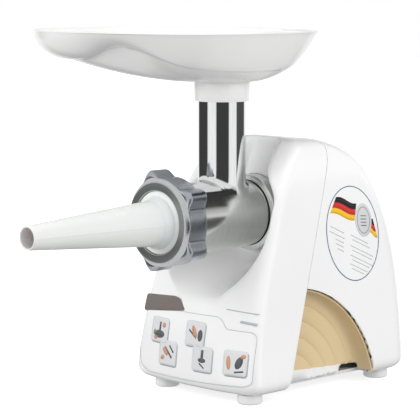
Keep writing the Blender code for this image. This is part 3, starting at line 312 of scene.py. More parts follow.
def metalGroup():
    # worked metal: drawn or turned streaks along one axis, smudges and a few fine scratches
    group, start, end = newGroup(
        "workedMetal",
        [
            ("Colour", "NodeSocketColor", (0.8, 0.8, 0.8, 1)),
            ("Gloss", "NodeSocketFloat", 0.1),
            ("Smudge", "NodeSocketFloat", 0.06),
            ("Streak", "NodeSocketVector", (40.0, 900.0, 40.0)),
            ("Grain", "NodeSocketFloat", 0.4),
            ("Scratch", "NodeSocketFloat", 0.3),
        ],
        [("Colour", "NodeSocketColor"), ("Roughness", "NodeSocketFloat"), ("Height", "NodeSocketFloat")],
    )
    spot = objectPlace(group)
    scaled = [(0, spot), (1, start.outputs["Streak"])]
    stretched = addNode(group, "ShaderNodeVectorMath", scaled, operation="MULTIPLY").outputs[0]
    streaks = noise(group, stretched, 1.0, 4.0)
    smudges = remap(group, noise(group, spot, 26.0, 5.0, 0.8), 0.42, 0.72)
    film = combine(group, "MULTIPLY", smudges, start.outputs["Smudge"])
    group.links.new(combine(group, "ADD", start.outputs["Gloss"], film, clamp=True), end.inputs["Roughness"])
    shade = remap(group, streaks, 0.3, 0.7, 0.94, 1.03)
    tone = addNode(group, "ShaderNodeHueSaturation", [("Color", start.outputs["Colour"]), ("Value", shade)])
    group.links.new(tone.outputs[0], end.inputs["Colour"])
    cells = {"feature": "DISTANCE_TO_EDGE", "in_Scale": 34.0}
    hairs = addNode(group, "ShaderNodeTexVoronoi", [("Vector", spot)], **cells).outputs["Distance"]
    line = remap(group, hairs, 0.0, 0.012, -1.0, 0.0)
    cut = combine(group, "MULTIPLY", line, start.outputs["Scratch"])
    fine = combine(group, "MULTIPLY", streaks, start.outputs["Grain"])
    group.links.new(combine(group, "ADD", cut, fine), end.inputs["Height"])
    return group


moulded = mouldedGroup()
worked = metalGroup()


def newMaterial(name):
    material = bpy.data.materials.new(name)
    material.use_nodes = True
    return material, material.node_tree, material.node_tree.nodes["Principled BSDF"]


def finishWith(group, name, values, bump, shaderValues):
    material, tree, shader = newMaterial(name)
    surface = tree.nodes.new("ShaderNodeGroup")
    surface.node_tree = group
    for label, value in values.items():
        surface.inputs[label].default_value = value
    tree.links.new(surface.outputs["Colour"], shader.inputs["Base Color"])
    tree.links.new(surface.outputs["Roughness"], shader.inputs["Roughness"])
    relief = addNode(tree, "ShaderNodeBump", [("Height", surface.outputs["Height"])])
    relief.inputs["Strength"].default_value = bump[0]
    relief.inputs["Distance"].default_value = bump[1] * mm
    tree.links.new(relief.outputs[0], shader.inputs["Normal"])
    for label, value in shaderValues.items():
        shader.inputs[label].default_value = value
    return material


def plastic(name, colour, gloss, drift=0.02, peel=0.3, pores=900.0, dust=0.04, bump=(0.12, 0.05), **shader):
    values = {"Colour": (*colour, 1), "Gloss": gloss, "Drift": drift, "Peel": peel, "Pore Scale": pores,
              "Dust": dust}
    return finishWith(moulded, name, values, bump, {key.replace("_", " "): v for key, v in shader.items()})


def metal(name, colour, gloss, streak=(40, 900, 40), grain=0.4, smudge=0.05, scratch=0.2, bump=(0.1, 0.02),
          **shader):
    values = {"Colour": (*colour, 1), "Gloss": gloss, "Streak": streak, "Grain": grain, "Smudge": smudge,
              "Scratch": scratch}
    settings = {key.replace("_", " "): v for key, v in shader.items()}
    return finishWith(worked, name, values, bump, {"Metallic": 1.0, **settings})


plasticFinishes = {
    "shellWhite": dict(colour=(0.86, 0.865, 0.86), gloss=0.17, Coat_Weight=0.35, Coat_Roughness=0.06),
    "trayWhite": dict(colour=(0.87, 0.87, 0.865), gloss=0.2, peel=0.2, Coat_Weight=0.25, Coat_Roughness=0.1),
    "tubeWhite": dict(colour=(0.8, 0.805, 0.795), gloss=0.26, pores=600.0, Subsurface_Weight=0.15,
                      Subsurface_Scale=0.004),
    "panelBeige": dict(colour=(0.71, 0.56, 0.33), gloss=0.42, drift=0.035, peel=0.5, pores=1500.0,
                       bump=(0.25, 0.06)),
    "baseGrey": dict(colour=(0.72, 0.725, 0.72), gloss=0.5, peel=0.5, pores=1300.0, bump=(0.3, 0.06)),
    "controlGrey": dict(colour=(0.42, 0.43, 0.44), gloss=0.46, peel=0.5, pores=1300.0, bump=(0.3, 0.06)),
    "darkPlastic": dict(colour=(0.035, 0.036, 0.04), gloss=0.38, peel=0.5, pores=1300.0, bump=(0.3, 0.06)),
    "footPale": dict(colour=(0.78, 0.785, 0.78), gloss=0.55, drift=0.04, peel=0.6, pores=500.0, dust=0.1,
                     bump=(0.3, 0.08)),
    "sealBlack": dict(colour=(0.03, 0.03, 0.03), gloss=0.6, peel=0.7, pores=700.0, bump=(0.3, 0.08)),
    "gearNylon": dict(colour=(0.8, 0.76, 0.62), gloss=0.45, peel=0.4, Subsurface_Weight=0.1,
                      Subsurface_Scale=0.002),
    "carbonBlack": dict(colour=(0.03, 0.03, 0.035), gloss=0.62, peel=0.8, pores=2500.0, bump=(0.4, 0.05)),
}
metalFinishes = {
    "chamberPolish": dict(colour=(0.86, 0.87, 0.87), gloss=0.045, grain=0.15, smudge=0.05, scratch=0.1),
    "barrelSatin": dict(colour=(0.82, 0.83, 0.81), gloss=0.13, streak=(30, 900, 30), grain=0.35, smudge=0.1,
                        bump=(0.12, 0.02)),
    "nutPolish": dict(colour=(0.46, 0.49, 0.53), gloss=0.26, grain=0.2, smudge=0.08, scratch=0.25),
    # a lighter copy of the nut's metal for the front lip and chamfer band: painted highlight
    "nutRimPaintedHighlight": dict(colour=(0.62, 0.64, 0.65), gloss=0.2, grain=0.2, smudge=0.07, scratch=0.2),
    # the nut's turned front face: the radial grain is real, the darker colour is painted shade
    "nutFacePaintedShade": dict(colour=(0.3, 0.32, 0.31), gloss=0.42, streak=(700, 40, 700), grain=0.5, smudge=0.06),
    "bladeSteel": dict(colour=(0.62, 0.63, 0.64), gloss=0.22, streak=(60, 1200, 60), grain=0.8,
                       bump=(0.3, 0.03)),
    "socketCast": dict(colour=(0.72, 0.73, 0.72), gloss=0.28, streak=(300, 300, 300), grain=0.7,
                       bump=(0.25, 0.04)),
    "augerCast": dict(colour=(0.7, 0.71, 0.72), gloss=0.3, streak=(260, 260, 260), grain=0.8,
                      bump=(0.3, 0.05)),
    "coreSteel": dict(colour=(0.42, 0.43, 0.45), gloss=0.42, streak=(5, 2600, 5), grain=1.0,
                      bump=(0.6, 0.08)),
    "windingCopper": dict(colour=(0.72, 0.32, 0.13), gloss=0.3, streak=(5, 5, 1500), grain=1.0,
                          bump=(0.6, 0.15)),
    "bushBronze": dict(colour=(0.6, 0.42, 0.2), gloss=0.38, streak=(700, 700, 700), grain=0.9,
                       bump=(0.3, 0.05)),
}
finishes = {name: plastic(name, **recipe) for name, recipe in plasticFinishes.items()}
finishes.update({name: metal(name, **recipe) for name, recipe in metalFinishes.items()})
print("finishes made:", len(finishes))

carriedOver = {
    "darkPlastic": ["power_switch", "reverse_switch", "power_rocker", "reverse_button", "cord_inlet_bush",
                    "cooling_fan", "brush_holder_left", "brush_holder_right"],
    "controlGrey": ["control_bezel", "release_button"],
    "baseGrey": ["base_plate"],
    "bladeSteel": ["foot_screw_front_left", "foot_screw_front_right", "foot_screw_rear_left",
                   "foot_screw_rear_right", "latch_spring", "latch_plate", "mincing_plate", "knife_blade",
                   "auger_drive_shank", "motor_shaft", "motor_bearing_front", "motor_bearing_rear",
                   "first_layshaft", "second_layshaft", "drive_spindle"],
    "socketCast": ["gearbox_front_plate", "gearbox_rear_plate", "motor_bracket_front", "motor_bracket_rear"],
    "augerCast": ["auger"],
    "coreSteel": ["stator_core", "armature_core"],
    "windingCopper": ["field_coil_upper", "field_coil_lower", "armature_winding_front",
                      "armature_winding_rear", "commutator"],
    "bushBronze": ["spindle_bush_front", "spindle_bush_rear"],
    "carbonBlack": ["carbon_brush_left", "carbon_brush_right"],
    "gearNylon": ["output_gear", "second_gear", "first_gear"],
}
for finishName, nodeNames in carriedOver.items():
    for nodeName in nodeNames:
        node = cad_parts[nodeName]
        node.data.materials.clear()
        node.data.materials.append(finishes[finishName])

# Housing

housing = {
    "bottom": 9.0, "top": 231.0, "baseHalfWidth": 77.0, "taper": 0.085, "ridgeY": 60.0,
    "frontReach": 104.0, "frontStart": 20.0, "frontPower": 1.6,
    "rearReach": 120.0, "rearStart": 40.0, "rearPower": 2.5,
    "shoulderStart": 150.0, "shoulderPower": 6.0, "baseFillet": 12.0, "frontCorner": 9.0, "rearCorner": 24.0,
    "bulgeRight": 12.5, "bulgeLeft": 6.0, "bulgePower": 2.4, "wall": 2.6,
    "seamFoot": 6.6, "seamLean": 0.337, "seamGap": 0.5, "archY": 22.0, "archZ": -5.0, "archRadius": 105.0,
    "bulgeFade": (130, 222),  # heights between which the bulge dies out
    "bowlRadius": 53.4, "bowlSlope": 0.42, "bowlStart": 15.0, "bowlFloor": 44.0, "bowlFillet": 9.0,
    "funnelHalf": 17, "funnelSlope": 1.7, "funnelLean": 0.36, "funnelLeanFrom": 195,
    "funnelRise": (10, 46),  # heights over the head's axis where the bowl turns into the funnel
    "hollowAbove": 60, "hollowBefore": 14,  # lowest height, and distance kept from the seam
    "edgeCrisp": 1.0, "edgeSoftBelow": 18, "edgeSoftAbove": 11,
    "socketHole": 35.4, "buttonHole": 6.9, "inletHole": 9.3, "rimRound": 0.35,
}


def quadrant(along, power):
    return max(0.0, 1.0 - min(1.0, max(0.0, along)) ** power) ** (1.0 / power)


def halfWidth(z):
    straight = housing["baseHalfWidth"] - housing["taper"] * (z - housing["bottom"])
    along = (z - housing["shoulderStart"]) / (housing["top"] - housing["shoulderStart"])
    return straight * quadrant(along, housing["shoulderPower"])


def frontY(z):
    along = (z - housing["frontStart"]) / (housing["top"] - housing["frontStart"])
    return housing["ridgeY"] - housing["frontReach"] * quadrant(along, housing["frontPower"])


def rearY(z):
    along = (z - housing["rearStart"]) / (housing["top"] - housing["rearStart"])
    return housing["ridgeY"] + housing["rearReach"] * quadrant(along, housing["rearPower"])


def faceY(x, z):
    # the front face, which falls back towards both corners
    share = min(1.2, abs(x) / max(halfWidth(z), 1.0))
    fade = 1 - smoothStep(*housing["bulgeFade"], z)
    bulge = housing["bulgeRight"] if x > 0 else housing["bulgeLeft"]
    return frontY(z) + bulge * fade * share ** housing["bulgePower"]


def seamY(z):
    return housing["seamFoot"] + housing["seamLean"] * z


def housingRing(z):
    under = max(0.0, housing["bottom"] + housing["baseFillet"] - z)
    lift = housing["baseFillet"] - math.sqrt(max(0.0, housing["baseFillet"] ** 2 - under**2))
    half = max(halfWidth(z) - lift, 1.0)
    depth = rearY(z) - frontY(z)
    small = min(housing["frontCorner"], 0.45 * half, 0.2 * depth)
    large = min(housing["rearCorner"] - lift / 2, 0.95 * half, 0.45 * depth)
    flat = half - small
    sides = []
    for side in (1, -1):  # from the middle of the front round to the middle of the back
        line = [(side * flat * i / 36, faceY(side * flat * i / 36, z) + lift) for i in range(37)]
        slope = (line[-1][1] - line[-2][1]) / (flat / 36)
        startY = line[-1][1]
        bendY = startY + slope * small
        for i in range(1, 9):
            t = i / 8
            line.append((side * bent(flat, half, half, t), bent(startY, bendY, bendY + small, t)))
        sideStart, sideEnd = line[-1][1], rearY(z) - lift - large
        sideEnd = max(sideEnd, sideStart + 0.5)
        line += [(side * half, sideStart + (sideEnd - sideStart) * i / 48) for i in range(1, 49)]
        for i in range(1, 13):
            turn = math.radians(90 * i / 12)
            line.append((side * (half - large + large * math.cos(turn)), sideEnd + large * math.sin(turn)))
        back = line[-1]
        line += [(back[0] * (1 - i / 8), back[1]) for i in range(1, 9)]
        sides.append(line)
    return [(x, y, z) for x, y in sides[0] + sides[1][-2:0:-1]]


def housingLevels():
    bottom, fillet = housing["bottom"], housing["baseFillet"]
    levels = [bottom + fillet * (1 - math.cos(math.radians(a))) for a in range(0, 90, 9)]
    levels += [bottom + fillet + (housing["shoulderStart"] - bottom - fillet) * i / 52 for i in range(52)]
    rise = housing["top"] - housing["shoulderStart"]
    angles = [i * 2.2 for i in range(33)] + [72.6 + i * 1.1 for i in range(1, 13)] + [86.9, 87.8, 88.6, 89.3]
    return levels + [housing["shoulderStart"] + rise * math.sin(math.radians(a)) for a in angles]


def recessY(x, z):
    # how far back the hollow round the head goes: a bowl below its axis, an open funnel above
    rho = abs(x) if z > headZ else math.hypot(x, z - headZ)
    floor = housing["bowlFloor"] + housing["funnelLean"] * max(0.0, z - housing["funnelLeanFrom"])
    bowl = housing["bowlStart"] + (housing["bowlRadius"] - rho) / housing["bowlSlope"]
    funnel = floor - housing["funnelSlope"] * (rho - housing["funnelHalf"])
    share = smoothStep(*housing["funnelRise"], z - headZ)
    wall = bowl * (1 - share) + funnel * share
    return softMin(floor, wall, housing["bowlFillet"])


def edgeWidth(x, z):
    around = math.degrees(math.atan2(abs(x), headZ - z))  # 0 is straight below the head
    below = housing["edgeSoftBelow"] * (1 - smoothStep(14, 32, around))
    above = housing["edgeSoftAbove"] * smoothStep(92, 112, around)
    return housing["edgeCrisp"] + below + above


def makeHousing():
    rings = [housingRing(z) for z in housingLevels()]
    gap = housing["seamGap"] / 2

    front, rear = skin(rings), skin(rings)
    for shell in (front, rear):
        top = [v for v in shell.verts if v.co.z > housingLevels()[-1] - 1e-3]
        bmesh.ops.triangulate(shell, faces=bmesh.ops.contextual_create(shell, geom=top)["faces"])
    split(front, lambda p: seamY(p.z) - gap - p.y)

    def overEdge(p):
        inside = p.y < seamY(p.z) - housing["hollowBefore"] - 4 and p.z > housing["hollowAbove"] + 10
        return recessY(p.x, p.z) - p.y if inside else -5.0

    split(front, overEdge, drop=False)
    for vert in front.verts:
        p = vert.co
        if p.z > housing["hollowAbove"] and p.y < seamY(p.z) - housing["hollowBefore"]:
            vert.co.y = softMax(p.y, recessY(p.x, p.z), edgeWidth(p.x, p.z))

    def overSocket(p):
        return math.hypot(p.x, p.z - headZ) - housing["socketHole"] if p.y < 70 and abs(p.x) < 50 else 5.0

    split(front, overSocket)
    buttonLow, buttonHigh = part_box("release_button")
    buttonY = ((buttonLow.y + buttonHigh.y) / 2 - headY) / mm

    def overButton(p):
        return math.hypot(p.y - buttonY, p.z - headZ) - housing["buttonHole"] if p.x < -50 else 5.0

    split(front, overButton)
    shell = piece("shellFront", front, finishes["shellWhite"], "housing", ["front_shell"],
                  sharp=40)
    thicken(shell, housing["wall"], housing["rimRound"])

    split(rear, lambda p: p.y - seamY(p.z) - gap)
    split(rear, lambda p: math.hypot(p.y - housing["archY"], p.z - housing["archZ"]) - housing["archRadius"])
    inletLow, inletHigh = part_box("cord_inlet_bush")
    inletX = ((inletLow.x + inletHigh.x) / 2 - headX) / mm
    inletZ = (inletLow.z + inletHigh.z) / 2 / mm
    split(rear, lambda p: math.hypot(p.x - inletX, p.z - inletZ) - housing["inletHole"] if p.y > 120 else 5.0)
    shell = piece("shellRear", rear, finishes["shellWhite"], "housing", ["rear_shell"],
                  sharp=40)
    thicken(shell, housing["wall"], housing["rimRound"])


makeHousing()
print("housing shells made")

# Ribbed panels inside the side arches

archPanel = {"plane": 56.0, "rim": 2.0, "step": 2.0, "lean": 0.1, "ridges": (90, 75, 60, 45), "gap": 0.3,
             "foot": 22.5, "footLean": 0.055, "footY": 37, "opening": 98, "sheet": 1.6,
             "band": 3.4, "skirt": 5.8}  # widths of the edge that runs to the floor and that stays beige


def makeArchPanel(side):
    outer = housing["archRadius"] - archPanel["gap"]
    ridges, step, plane = archPanel["ridges"], archPanel["step"], archPanel["plane"]
    profile = [(outer, None), (outer - archPanel["rim"], None), (outer - archPanel["rim"], plane + 9)]
    profile += [(outer - archPanel["rim"] - 3.5 * (1 - math.cos(math.radians(a))),
                 plane + 9 - 9 * math.sin(math.radians(a)))
                for a in range(15, 91, 15)]
    level = plane
    for i, ridge in enumerate(ridges):
        start = profile[-1][0]
        after = ridges[i + 1] if i + 1 < len(ridges) else ridge - 14
        level -= (start - ridge) * archPanel["lean"]
        profile += [(ridge + 1.8, level), (ridge + 1.1, level - 0.5), (ridge + 0.4, level - 0.9),
                    (ridge + 0.1, level - 0.8), (ridge, level + 0.7 * step),
                    (ridge - 0.3, level + 0.93 * step), (ridge - 0.9, level + step)]
        level += step
        profile.append(((ridge + after) / 2, level - 0.5 * (ridge - after) * archPanel["lean"]))
        level = profile[-1][1]
    profile.append((0.0, level + 1.0))
    rows = []
    steps = 180
    for radius, height in profile:
        row = []
        for i in range(steps):
            turn = math.tau * i / steps
            y, z = housing["archY"] + radius * math.cos(turn), housing["archZ"] + radius * math.sin(turn)
            reach = height if height is not None else halfWidth(max(z, 9.0)) - housing["wall"] - 0.2
            row.append((side * reach, y, z))
        rows.append(row)
    mesh = skin(rows)
    bmesh.ops.remove_doubles(mesh, verts=mesh.verts, dist=1e-4)

    def overFoot(p):  # height over the line where the ribs end
        return p.z - archPanel["foot"] + archPanel["footLean"] * (p.y - archPanel["footY"])

    def kept(p):
        low = p.z - housing["bottom"] - archPanel["band"]
        if math.hypot(p.y - housing["archY"], p.z - housing["archZ"]) > outer - archPanel["band"]:
            return low
        return min(low, max(overFoot(p), archPanel["opening"] - p.y))

    split(mesh, overFoot, drop=False)
    split(mesh, kept)
    split(mesh, lambda p: p.y - seamY(p.z) - 0.4 if abs(p.x) > 63 else p.y - 8)
    name = "archPanelRight" if side > 0 else "archPanelLeft"
    node = "arch_panel_right" if side > 0 else "arch_panel_left"
    panel = piece(name, mesh, finishes["panelBeige"], "housing", [node], sharp=50)
    panel.data.materials.append(finishes["shellWhite"])
    for face in panel.data.polygons:
        place = Vector(((face.center.x - headX), (face.center.y - headY), face.center.z)) / mm
        fromCentre = math.hypot(place.y - housing["archY"], place.z - housing["archZ"])
        inside = fromCentre < outer - archPanel["skirt"]
        if inside and overFoot(place) < 0:
            face.material_index = 1  # pale skirt below the ribs
    wall = panel.modifiers.new("wall", "SOLIDIFY")
    wall.thickness = archPanel["sheet"] * mm
    wall.offset = -1


for side in (1, -1):
    makeArchPanel(side)

# Feet

foot = {"radius": 11.5, "height": 8.7, "round": 1.8, "sink": 4.5, "bore": 2.2, "floor": 4.7}
for corner in ("front_left", "front_right", "rear_left", "rear_right"):
    low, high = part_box("foot_" + corner)
    middle = ((low.x + high.x) / 2 - headX) / mm, ((low.y + high.y) / 2 - headY) / mm
    r, h, e = foot["radius"], foot["height"], foot["round"]
    profile = [(foot["sink"], 0.0), (r - e, 0.0), (r - 0.5 * e, 0.25 * e), (r - 0.12 * e, 0.62 * e),
               (r, 1.2 * e), (r - 0.2, h * 0.6), (r - 0.9, h), (foot["bore"], h),
               (foot["bore"], foot["floor"]), (foot["sink"], foot["floor"])]
    mesh = turned(profile, 64, "z", loop=True)
    bmesh.ops.translate(mesh, vec=(middle[0], middle[1], 0), verts=mesh.verts)
    name = "foot" + "".join(word.capitalize() for word in corner.split("_"))
    piece(name, mesh, finishes["footPale"], "housing", ["foot_" + corner])
print("panels and feet made")

# Head: socket, barrel and feed tube

head = {
    "barrelFront": 34.0, "barrelRear": 30.0, "bore": 26.3, "frontY": -72.4,
    "threadRadius": 34.9, "threadEnd": -57.0,
    "shoulderY": 31.0, "spigot": 27.0, "spigotEnd": 52.0, "boreEnd": 22.0, "seat": 31.3, "plateDepth": 4.3,
    "feed": 21.7, "feedWall": 2.2, "feedTop": 283.0, "fillet": 4.5,
    "satinFrom": -58.0, "satinTop": 21.6, "satinReach": 35.2,  # the barrel's satin face
}


def barrelRadius(y):
    share = (y - head["threadEnd"] - 2) / (head["shoulderY"] - head["threadEnd"] - 2)
    return head["barrelFront"] + (head["barrelRear"] - head["barrelFront"]) * min(1.0, max(0.0, share))


def barrelTop(x, y):
    return headZ + math.sqrt(max(1.0, barrelRadius(y) ** 2 - x * x))


def makeChamber():
    pitch = 2.0
    outline = [(head["seat"], head["frontY"]), (head["threadRadius"] - 1, head["frontY"])]
    y = head["frontY"] + 0.6
    while y < head["threadEnd"] - pitch:  # rounded thread crests, hidden under the nut
        outline += [(head["threadRadius"] - 0.9, y), (head["threadRadius"] - 0.1, y + 0.5 * pitch)]
        y += pitch
    outline += [(head["threadRadius"] - 0.9, y), (head["barrelFront"], head["threadEnd"] + 2)]
    start, end = head["threadEnd"] + 2, head["shoulderY"]
    levels = [start + (end - start) * i / 40 for i in range(1, 40)]
    outline += [(barrelRadius(level), level) for level in levels]
    outline += [(head["barrelRear"] - 0.1, end - 0.8), (head["barrelRear"] - 0.8, end), (head["spigot"], end),
                (head["spigot"], head["spigotEnd"] - 1), (head["spigot"] - 1, head["spigotEnd"]),
                (12.2, head["spigotEnd"])]
    mesh = turned(outline, 200)
    ring = head["feed"] + head["fillet"]
    split(mesh, lambda p: math.hypot(p.x, p.y) - ring if p.z > headZ else 5.0)
    # the feed tube with its fillet, one ring of points for each level
    steps = 200
    rows = []
    for i in range(9):
        t = i / 8
        row = []
        for k in range(steps):
            turn = math.tau * k / steps
            c, s = math.cos(turn), math.sin(turn)
            low = Vector((ring * c, ring * s, barrelTop(ring * c, ring * s)))
            bend = Vector((head["feed"] * c, head["feed"] * s, barrelTop(head["feed"] * c, head["feed"] * s)))
            high = bend + Vector((0, 0, head["fillet"] + 2.5))
            row.append(tuple(bent(low, bend, high, t)))
        rows.append(row)
    topRow = rows[-1]
    for i in range(1, 13):
        share = i / 12
        rows.append([(x, y, z + (head["feedTop"] - 0.8 - z) * share) for x, y, z in topRow])
    inner = head["feed"] - head["feedWall"]

    def circle(radius, z):
        angles = [math.tau * k / steps for k in range(steps)]
        return [(radius * math.cos(turn), radius * math.sin(turn), z) for turn in angles]

    rows += [circle(head["feed"] - 0.3, head["feedTop"] - 0.2), circle(head["feed"] - 0.9, head["feedTop"]),
             circle(inner + 0.6, head["feedTop"]), circle(inner, head["feedTop"] - 0.8)]
    for i in range(1, 9):
        share = i / 8
        row = []
        for k in range(steps):
            turn = math.tau * k / steps
            x, y = inner * math.cos(turn), inner * math.sin(turn)
            bottom = headZ + math.sqrt(head["bore"] ** 2 - x * x)
            row.append((x, y, head["feedTop"] - 0.8 + (bottom - head["feedTop"] + 0.8) * share))
        rows.append(row)
    tube = skin(rows)
    seatEnd = head["frontY"] + head["plateDepth"]
    inside = [(head["seat"], head["frontY"]), (head["seat"], seatEnd), (head["bore"], seatEnd)]
    inside += [(head["bore"], seatEnd + (head["boreEnd"] - seatEnd) * i / 30) for i in range(1, 31)]
    inside += [(9.4, head["boreEnd"]), (9.4, 37.0), (12.0, 37.0), (12.2, head["spigotEnd"])]
    bore = turned(inside, 120)
    split(bore, lambda p: math.hypot(p.x, p.y) - inner if p.z > headZ and p.y > -40 else 5.0)
    return joined((mesh, tube, bore))


chamber = piece("grinderChamber", makeChamber(), finishes["chamberPolish"], "head",
                ["grinder_chamber"], tidy=False)
chamber.data.materials.append(finishes["barrelSatin"])
for face in chamber.data.polygons:
    centre = face.center
    fromTube = math.hypot(centre.x - headX, centre.y - headY) / mm
    fromAxis = math.hypot(centre.x - headX, centre.z - headZ * mm) / mm
    onBarrel = fromAxis < head["satinReach"] and fromTube > head["feed"] + 0.2
    if onBarrel and centre.y > headY + head["satinFrom"] * mm:
        face.material_index = 0 if centre.z > (headZ + head["satinTop"]) * mm else 1

socketProfile = [(29.7, 33.0), (29.8, 32.2), (30.5, 31.7), (33.6, 32.3), (34.7, 33.1), (35.0, 34.0),
                 (35.0, 52.0), (40.0, 52.0), (40.0, 56.0), (14.0, 56.0), (14.0, 53.0), (27.4, 53.0),
                 (27.4, 34.6), (29.7, 34.4)]
piece("headSocket", turned(socketProfile, 160, loop=True), finishes["socketCast"], "housing",
      ["head_socket"])

sealProfile = [(27.3, 31.2), (29.2, 31.2), (29.6, 31.5), (29.6, 32.6), (29.3, 32.9), (27.3, 32.9)]
piece("headSeal", turned(sealProfile, 160, loop=True), finishes["sealBlack"], "seal",
      ["head_seal"])

# Ring nut

nut = {
    "frontY": -80.5, "depth": 24.5, "radius": 39.5, "mouth": 28.5, "lip": 3.2, "lobes": 5, "reach": 7.7,
    "width": 0.3, "chamfer": 3.6, "threadCrest": 35.3, "threadRoot": 36.0, "highlightDepth": 3.2,
}


def lobeLift(turn):
    share = ((turn - math.pi) / math.tau * nut["lobes"]) % 1.0
    away = min(share, 1 - share) * math.tau / nut["lobes"]
    return nut["reach"] * max(0.0, 1 - (away / nut["width"]) ** 2) ** 2


def makeNut():
    steps = 360
    front, rear = nut["frontY"], nut["frontY"] + nut["depth"]

    def row(y, shrink, share):
        points = []
        for i in range(steps):
            turn = math.tau * i / steps
            radius = nut["radius"] - shrink + lobeLift(turn) * share
            points.append((radius * math.cos(turn), y, headZ + radius * math.sin(turn)))
        return points

    rows = [row(front + nut["lip"], nut["radius"] - nut["mouth"], 0),
            row(front + 0.5, nut["radius"] - nut["mouth"], 0),
            row(front, nut["radius"] - nut["mouth"] - 0.5, 0), row(front, nut["chamfer"] + 0.5, 0),
            row(front + 0.2, nut["chamfer"] - 0.2, 0)]
    for i in range(1, 7):
        rows.append(row(front + 0.3 + 0.45 * i, nut["chamfer"] * (1 - i / 6) ** 1.3 + 0.3, 0.02 * i))
    for i in range(1, 10):
        turn = math.radians(90 * i / 9)
        rows.append(row(front + 3.0 + 4.0 * (1 - math.cos(turn)), 0.3 * (1 - math.sin(turn)),
                        0.12 + 0.88 * math.sin(turn) ** 0.9))
    rows += [row(rear - 6, 0, 1), row(rear - 1.6, 0, 1), row(rear - 0.5, 0.5, 1), row(rear, 1.6, 1),
             row(rear, nut["radius"] - nut["threadCrest"], 0)]
    y = rear - 1.0
    while y > front + nut["lip"] + 2:  # thread inside
        rows += [row(y, nut["radius"] - nut["threadRoot"], 0),
                 row(y - 1.0, nut["radius"] - nut["threadCrest"], 0)]
        y -= 2.0
    rows.append(row(front + nut["lip"], nut["radius"] - nut["threadCrest"], 0))
    return skin(rows, loop=True)


ringNut = piece("ringNut", makeNut(), finishes["nutPolish"], "nut", ["ring_nut"], sharp=32)
ringNut.data.materials.append(finishes["nutFacePaintedShade"])
ringNut.data.materials.append(finishes["nutRimPaintedHighlight"])
for face in ringNut.data.polygons:
    # the flat front face takes a darker copy of the nut's metal as painted shade
    if abs(face.normal.y) > 0.97 and face.center.y < headY + (nut["frontY"] + 1) * mm:
        face.material_index = 1
    # the front lip and chamfer take a lighter copy of the nut's metal as painted highlight
    elif face.center.y < headY + (nut["frontY"] + nut["highlightDepth"]) * mm:
        face.material_index = 2

# Sausage tube

filler = {"flange": 34.3, "thickness": 3.0, "endY": -226.0, "base": 20.5, "end": 10.4, "wall": 1.7,
          "fillet": 6.0, "seam": 0.22}


def makeSausageTube():
    face = nut["frontY"] + nut["lip"] + 0.3
    back = face + filler["thickness"]
    bead = nut["mouth"] - 0.5
    start = face - nut["lip"] + 0.5
    outline = [(filler["flange"], back), (filler["flange"], face), (bead, face), (bead, start + 0.6),
               (bead - 0.6, start)]
    for i in range(9):
        turn = math.radians(90 * i / 8)
        outline.append((filler["base"] + filler["fillet"] * (1 - math.sin(turn)),
                        start - 0.3 - filler["fillet"] * (1 - math.cos(turn))))
    tubeStart = outline[-1][1]
    for i in range(1, 40):
        t = i / 40
        outline.append((filler["base"] + (filler["end"] - filler["base"]) * t,
                        tubeStart + (filler["endY"] + 0.8 - tubeStart) * t))
    outline += [(filler["end"], filler["endY"] + 0.8), (filler["end"] - 0.25, filler["endY"] + 0.2),
                (filler["end"] - 0.7, filler["endY"]), (filler["end"] - filler["wall"] + 0.5, filler["endY"]),
                (filler["end"] - filler["wall"], filler["endY"] + 0.6)]
    for i in range(1, 20):
        t = i / 20
        outline.append((filler["end"] - filler["wall"] + (filler["base"] - filler["end"]) * t,
                        filler["endY"] + 0.6 + (tubeStart - filler["endY"] - 0.6) * t))
    outline += [(filler["base"] + filler["fillet"] - filler["wall"], start + 1.5), (26.0, back)]

    def seam(turn, y):
        # a fine moulding line along both sides
        away = min(abs(math.sin(turn)), 1) if y < tubeStart + 1 else 1
        return filler["seam"] * math.exp(-((away / 0.03) ** 2))

    return turned(outline, 180, loop=True, wave=seam)


piece("sausageTube", makeSausageTube(), finishes["tubeWhite"], "filling_tube",
      ["sausage_tube"])
print("head made")

# Tray

tray = {
    "centreX": -63.7, "halfLength": 134.0, "halfWidth": 109.5, "power": 2.6, "rim": 329.0,
    "wall": 2.0, "depth": 27.0,
    "reach": 28.0, "waistX": -27.0, "spread": 55.0, "rise": 16.0, "endDrop": 8.0,
    "collarTop": 284.0, "collarBottom": 266.7, "collarInner": 22.1, "collarOuter": 25.2,
}


def trayPoint(turn, inset):
    power = 2.0 / tray["power"]
    x = math.copysign(abs(math.cos(turn)) ** power, math.cos(turn))
    y = math.copysign(abs(math.sin(turn)) ** power, math.sin(turn))
    return tray["centreX"] + (tray["halfLength"] - inset) * x, (tray["halfWidth"] - inset) * y


def trayDepth(x):
    along = (x - tray["centreX"]) / tray["halfLength"]
    waist = math.exp(-(((x - tray["waistX"]) / tray["spread"]) ** 2))
    return tray["depth"] - tray["rise"] * waist + tray["endDrop"] * max(0.0, along)


def trayWall(turn, lift, inset):
    x = trayPoint(turn, 0)[0]
    along = (x - tray["centreX"]) / tray["halfLength"]
    straight = 0.4 + 0.4 * along
    curve = (1 - straight) * (1 - math.cos(lift)) + straight * math.sin(lift)
    x, y = trayPoint(turn, inset + tray["reach"] * (1 - 0.22 * along) * curve)
    return x, y, tray["rim"] - (trayDepth(trayPoint(turn, 0)[0]) - inset) * math.sin(lift)


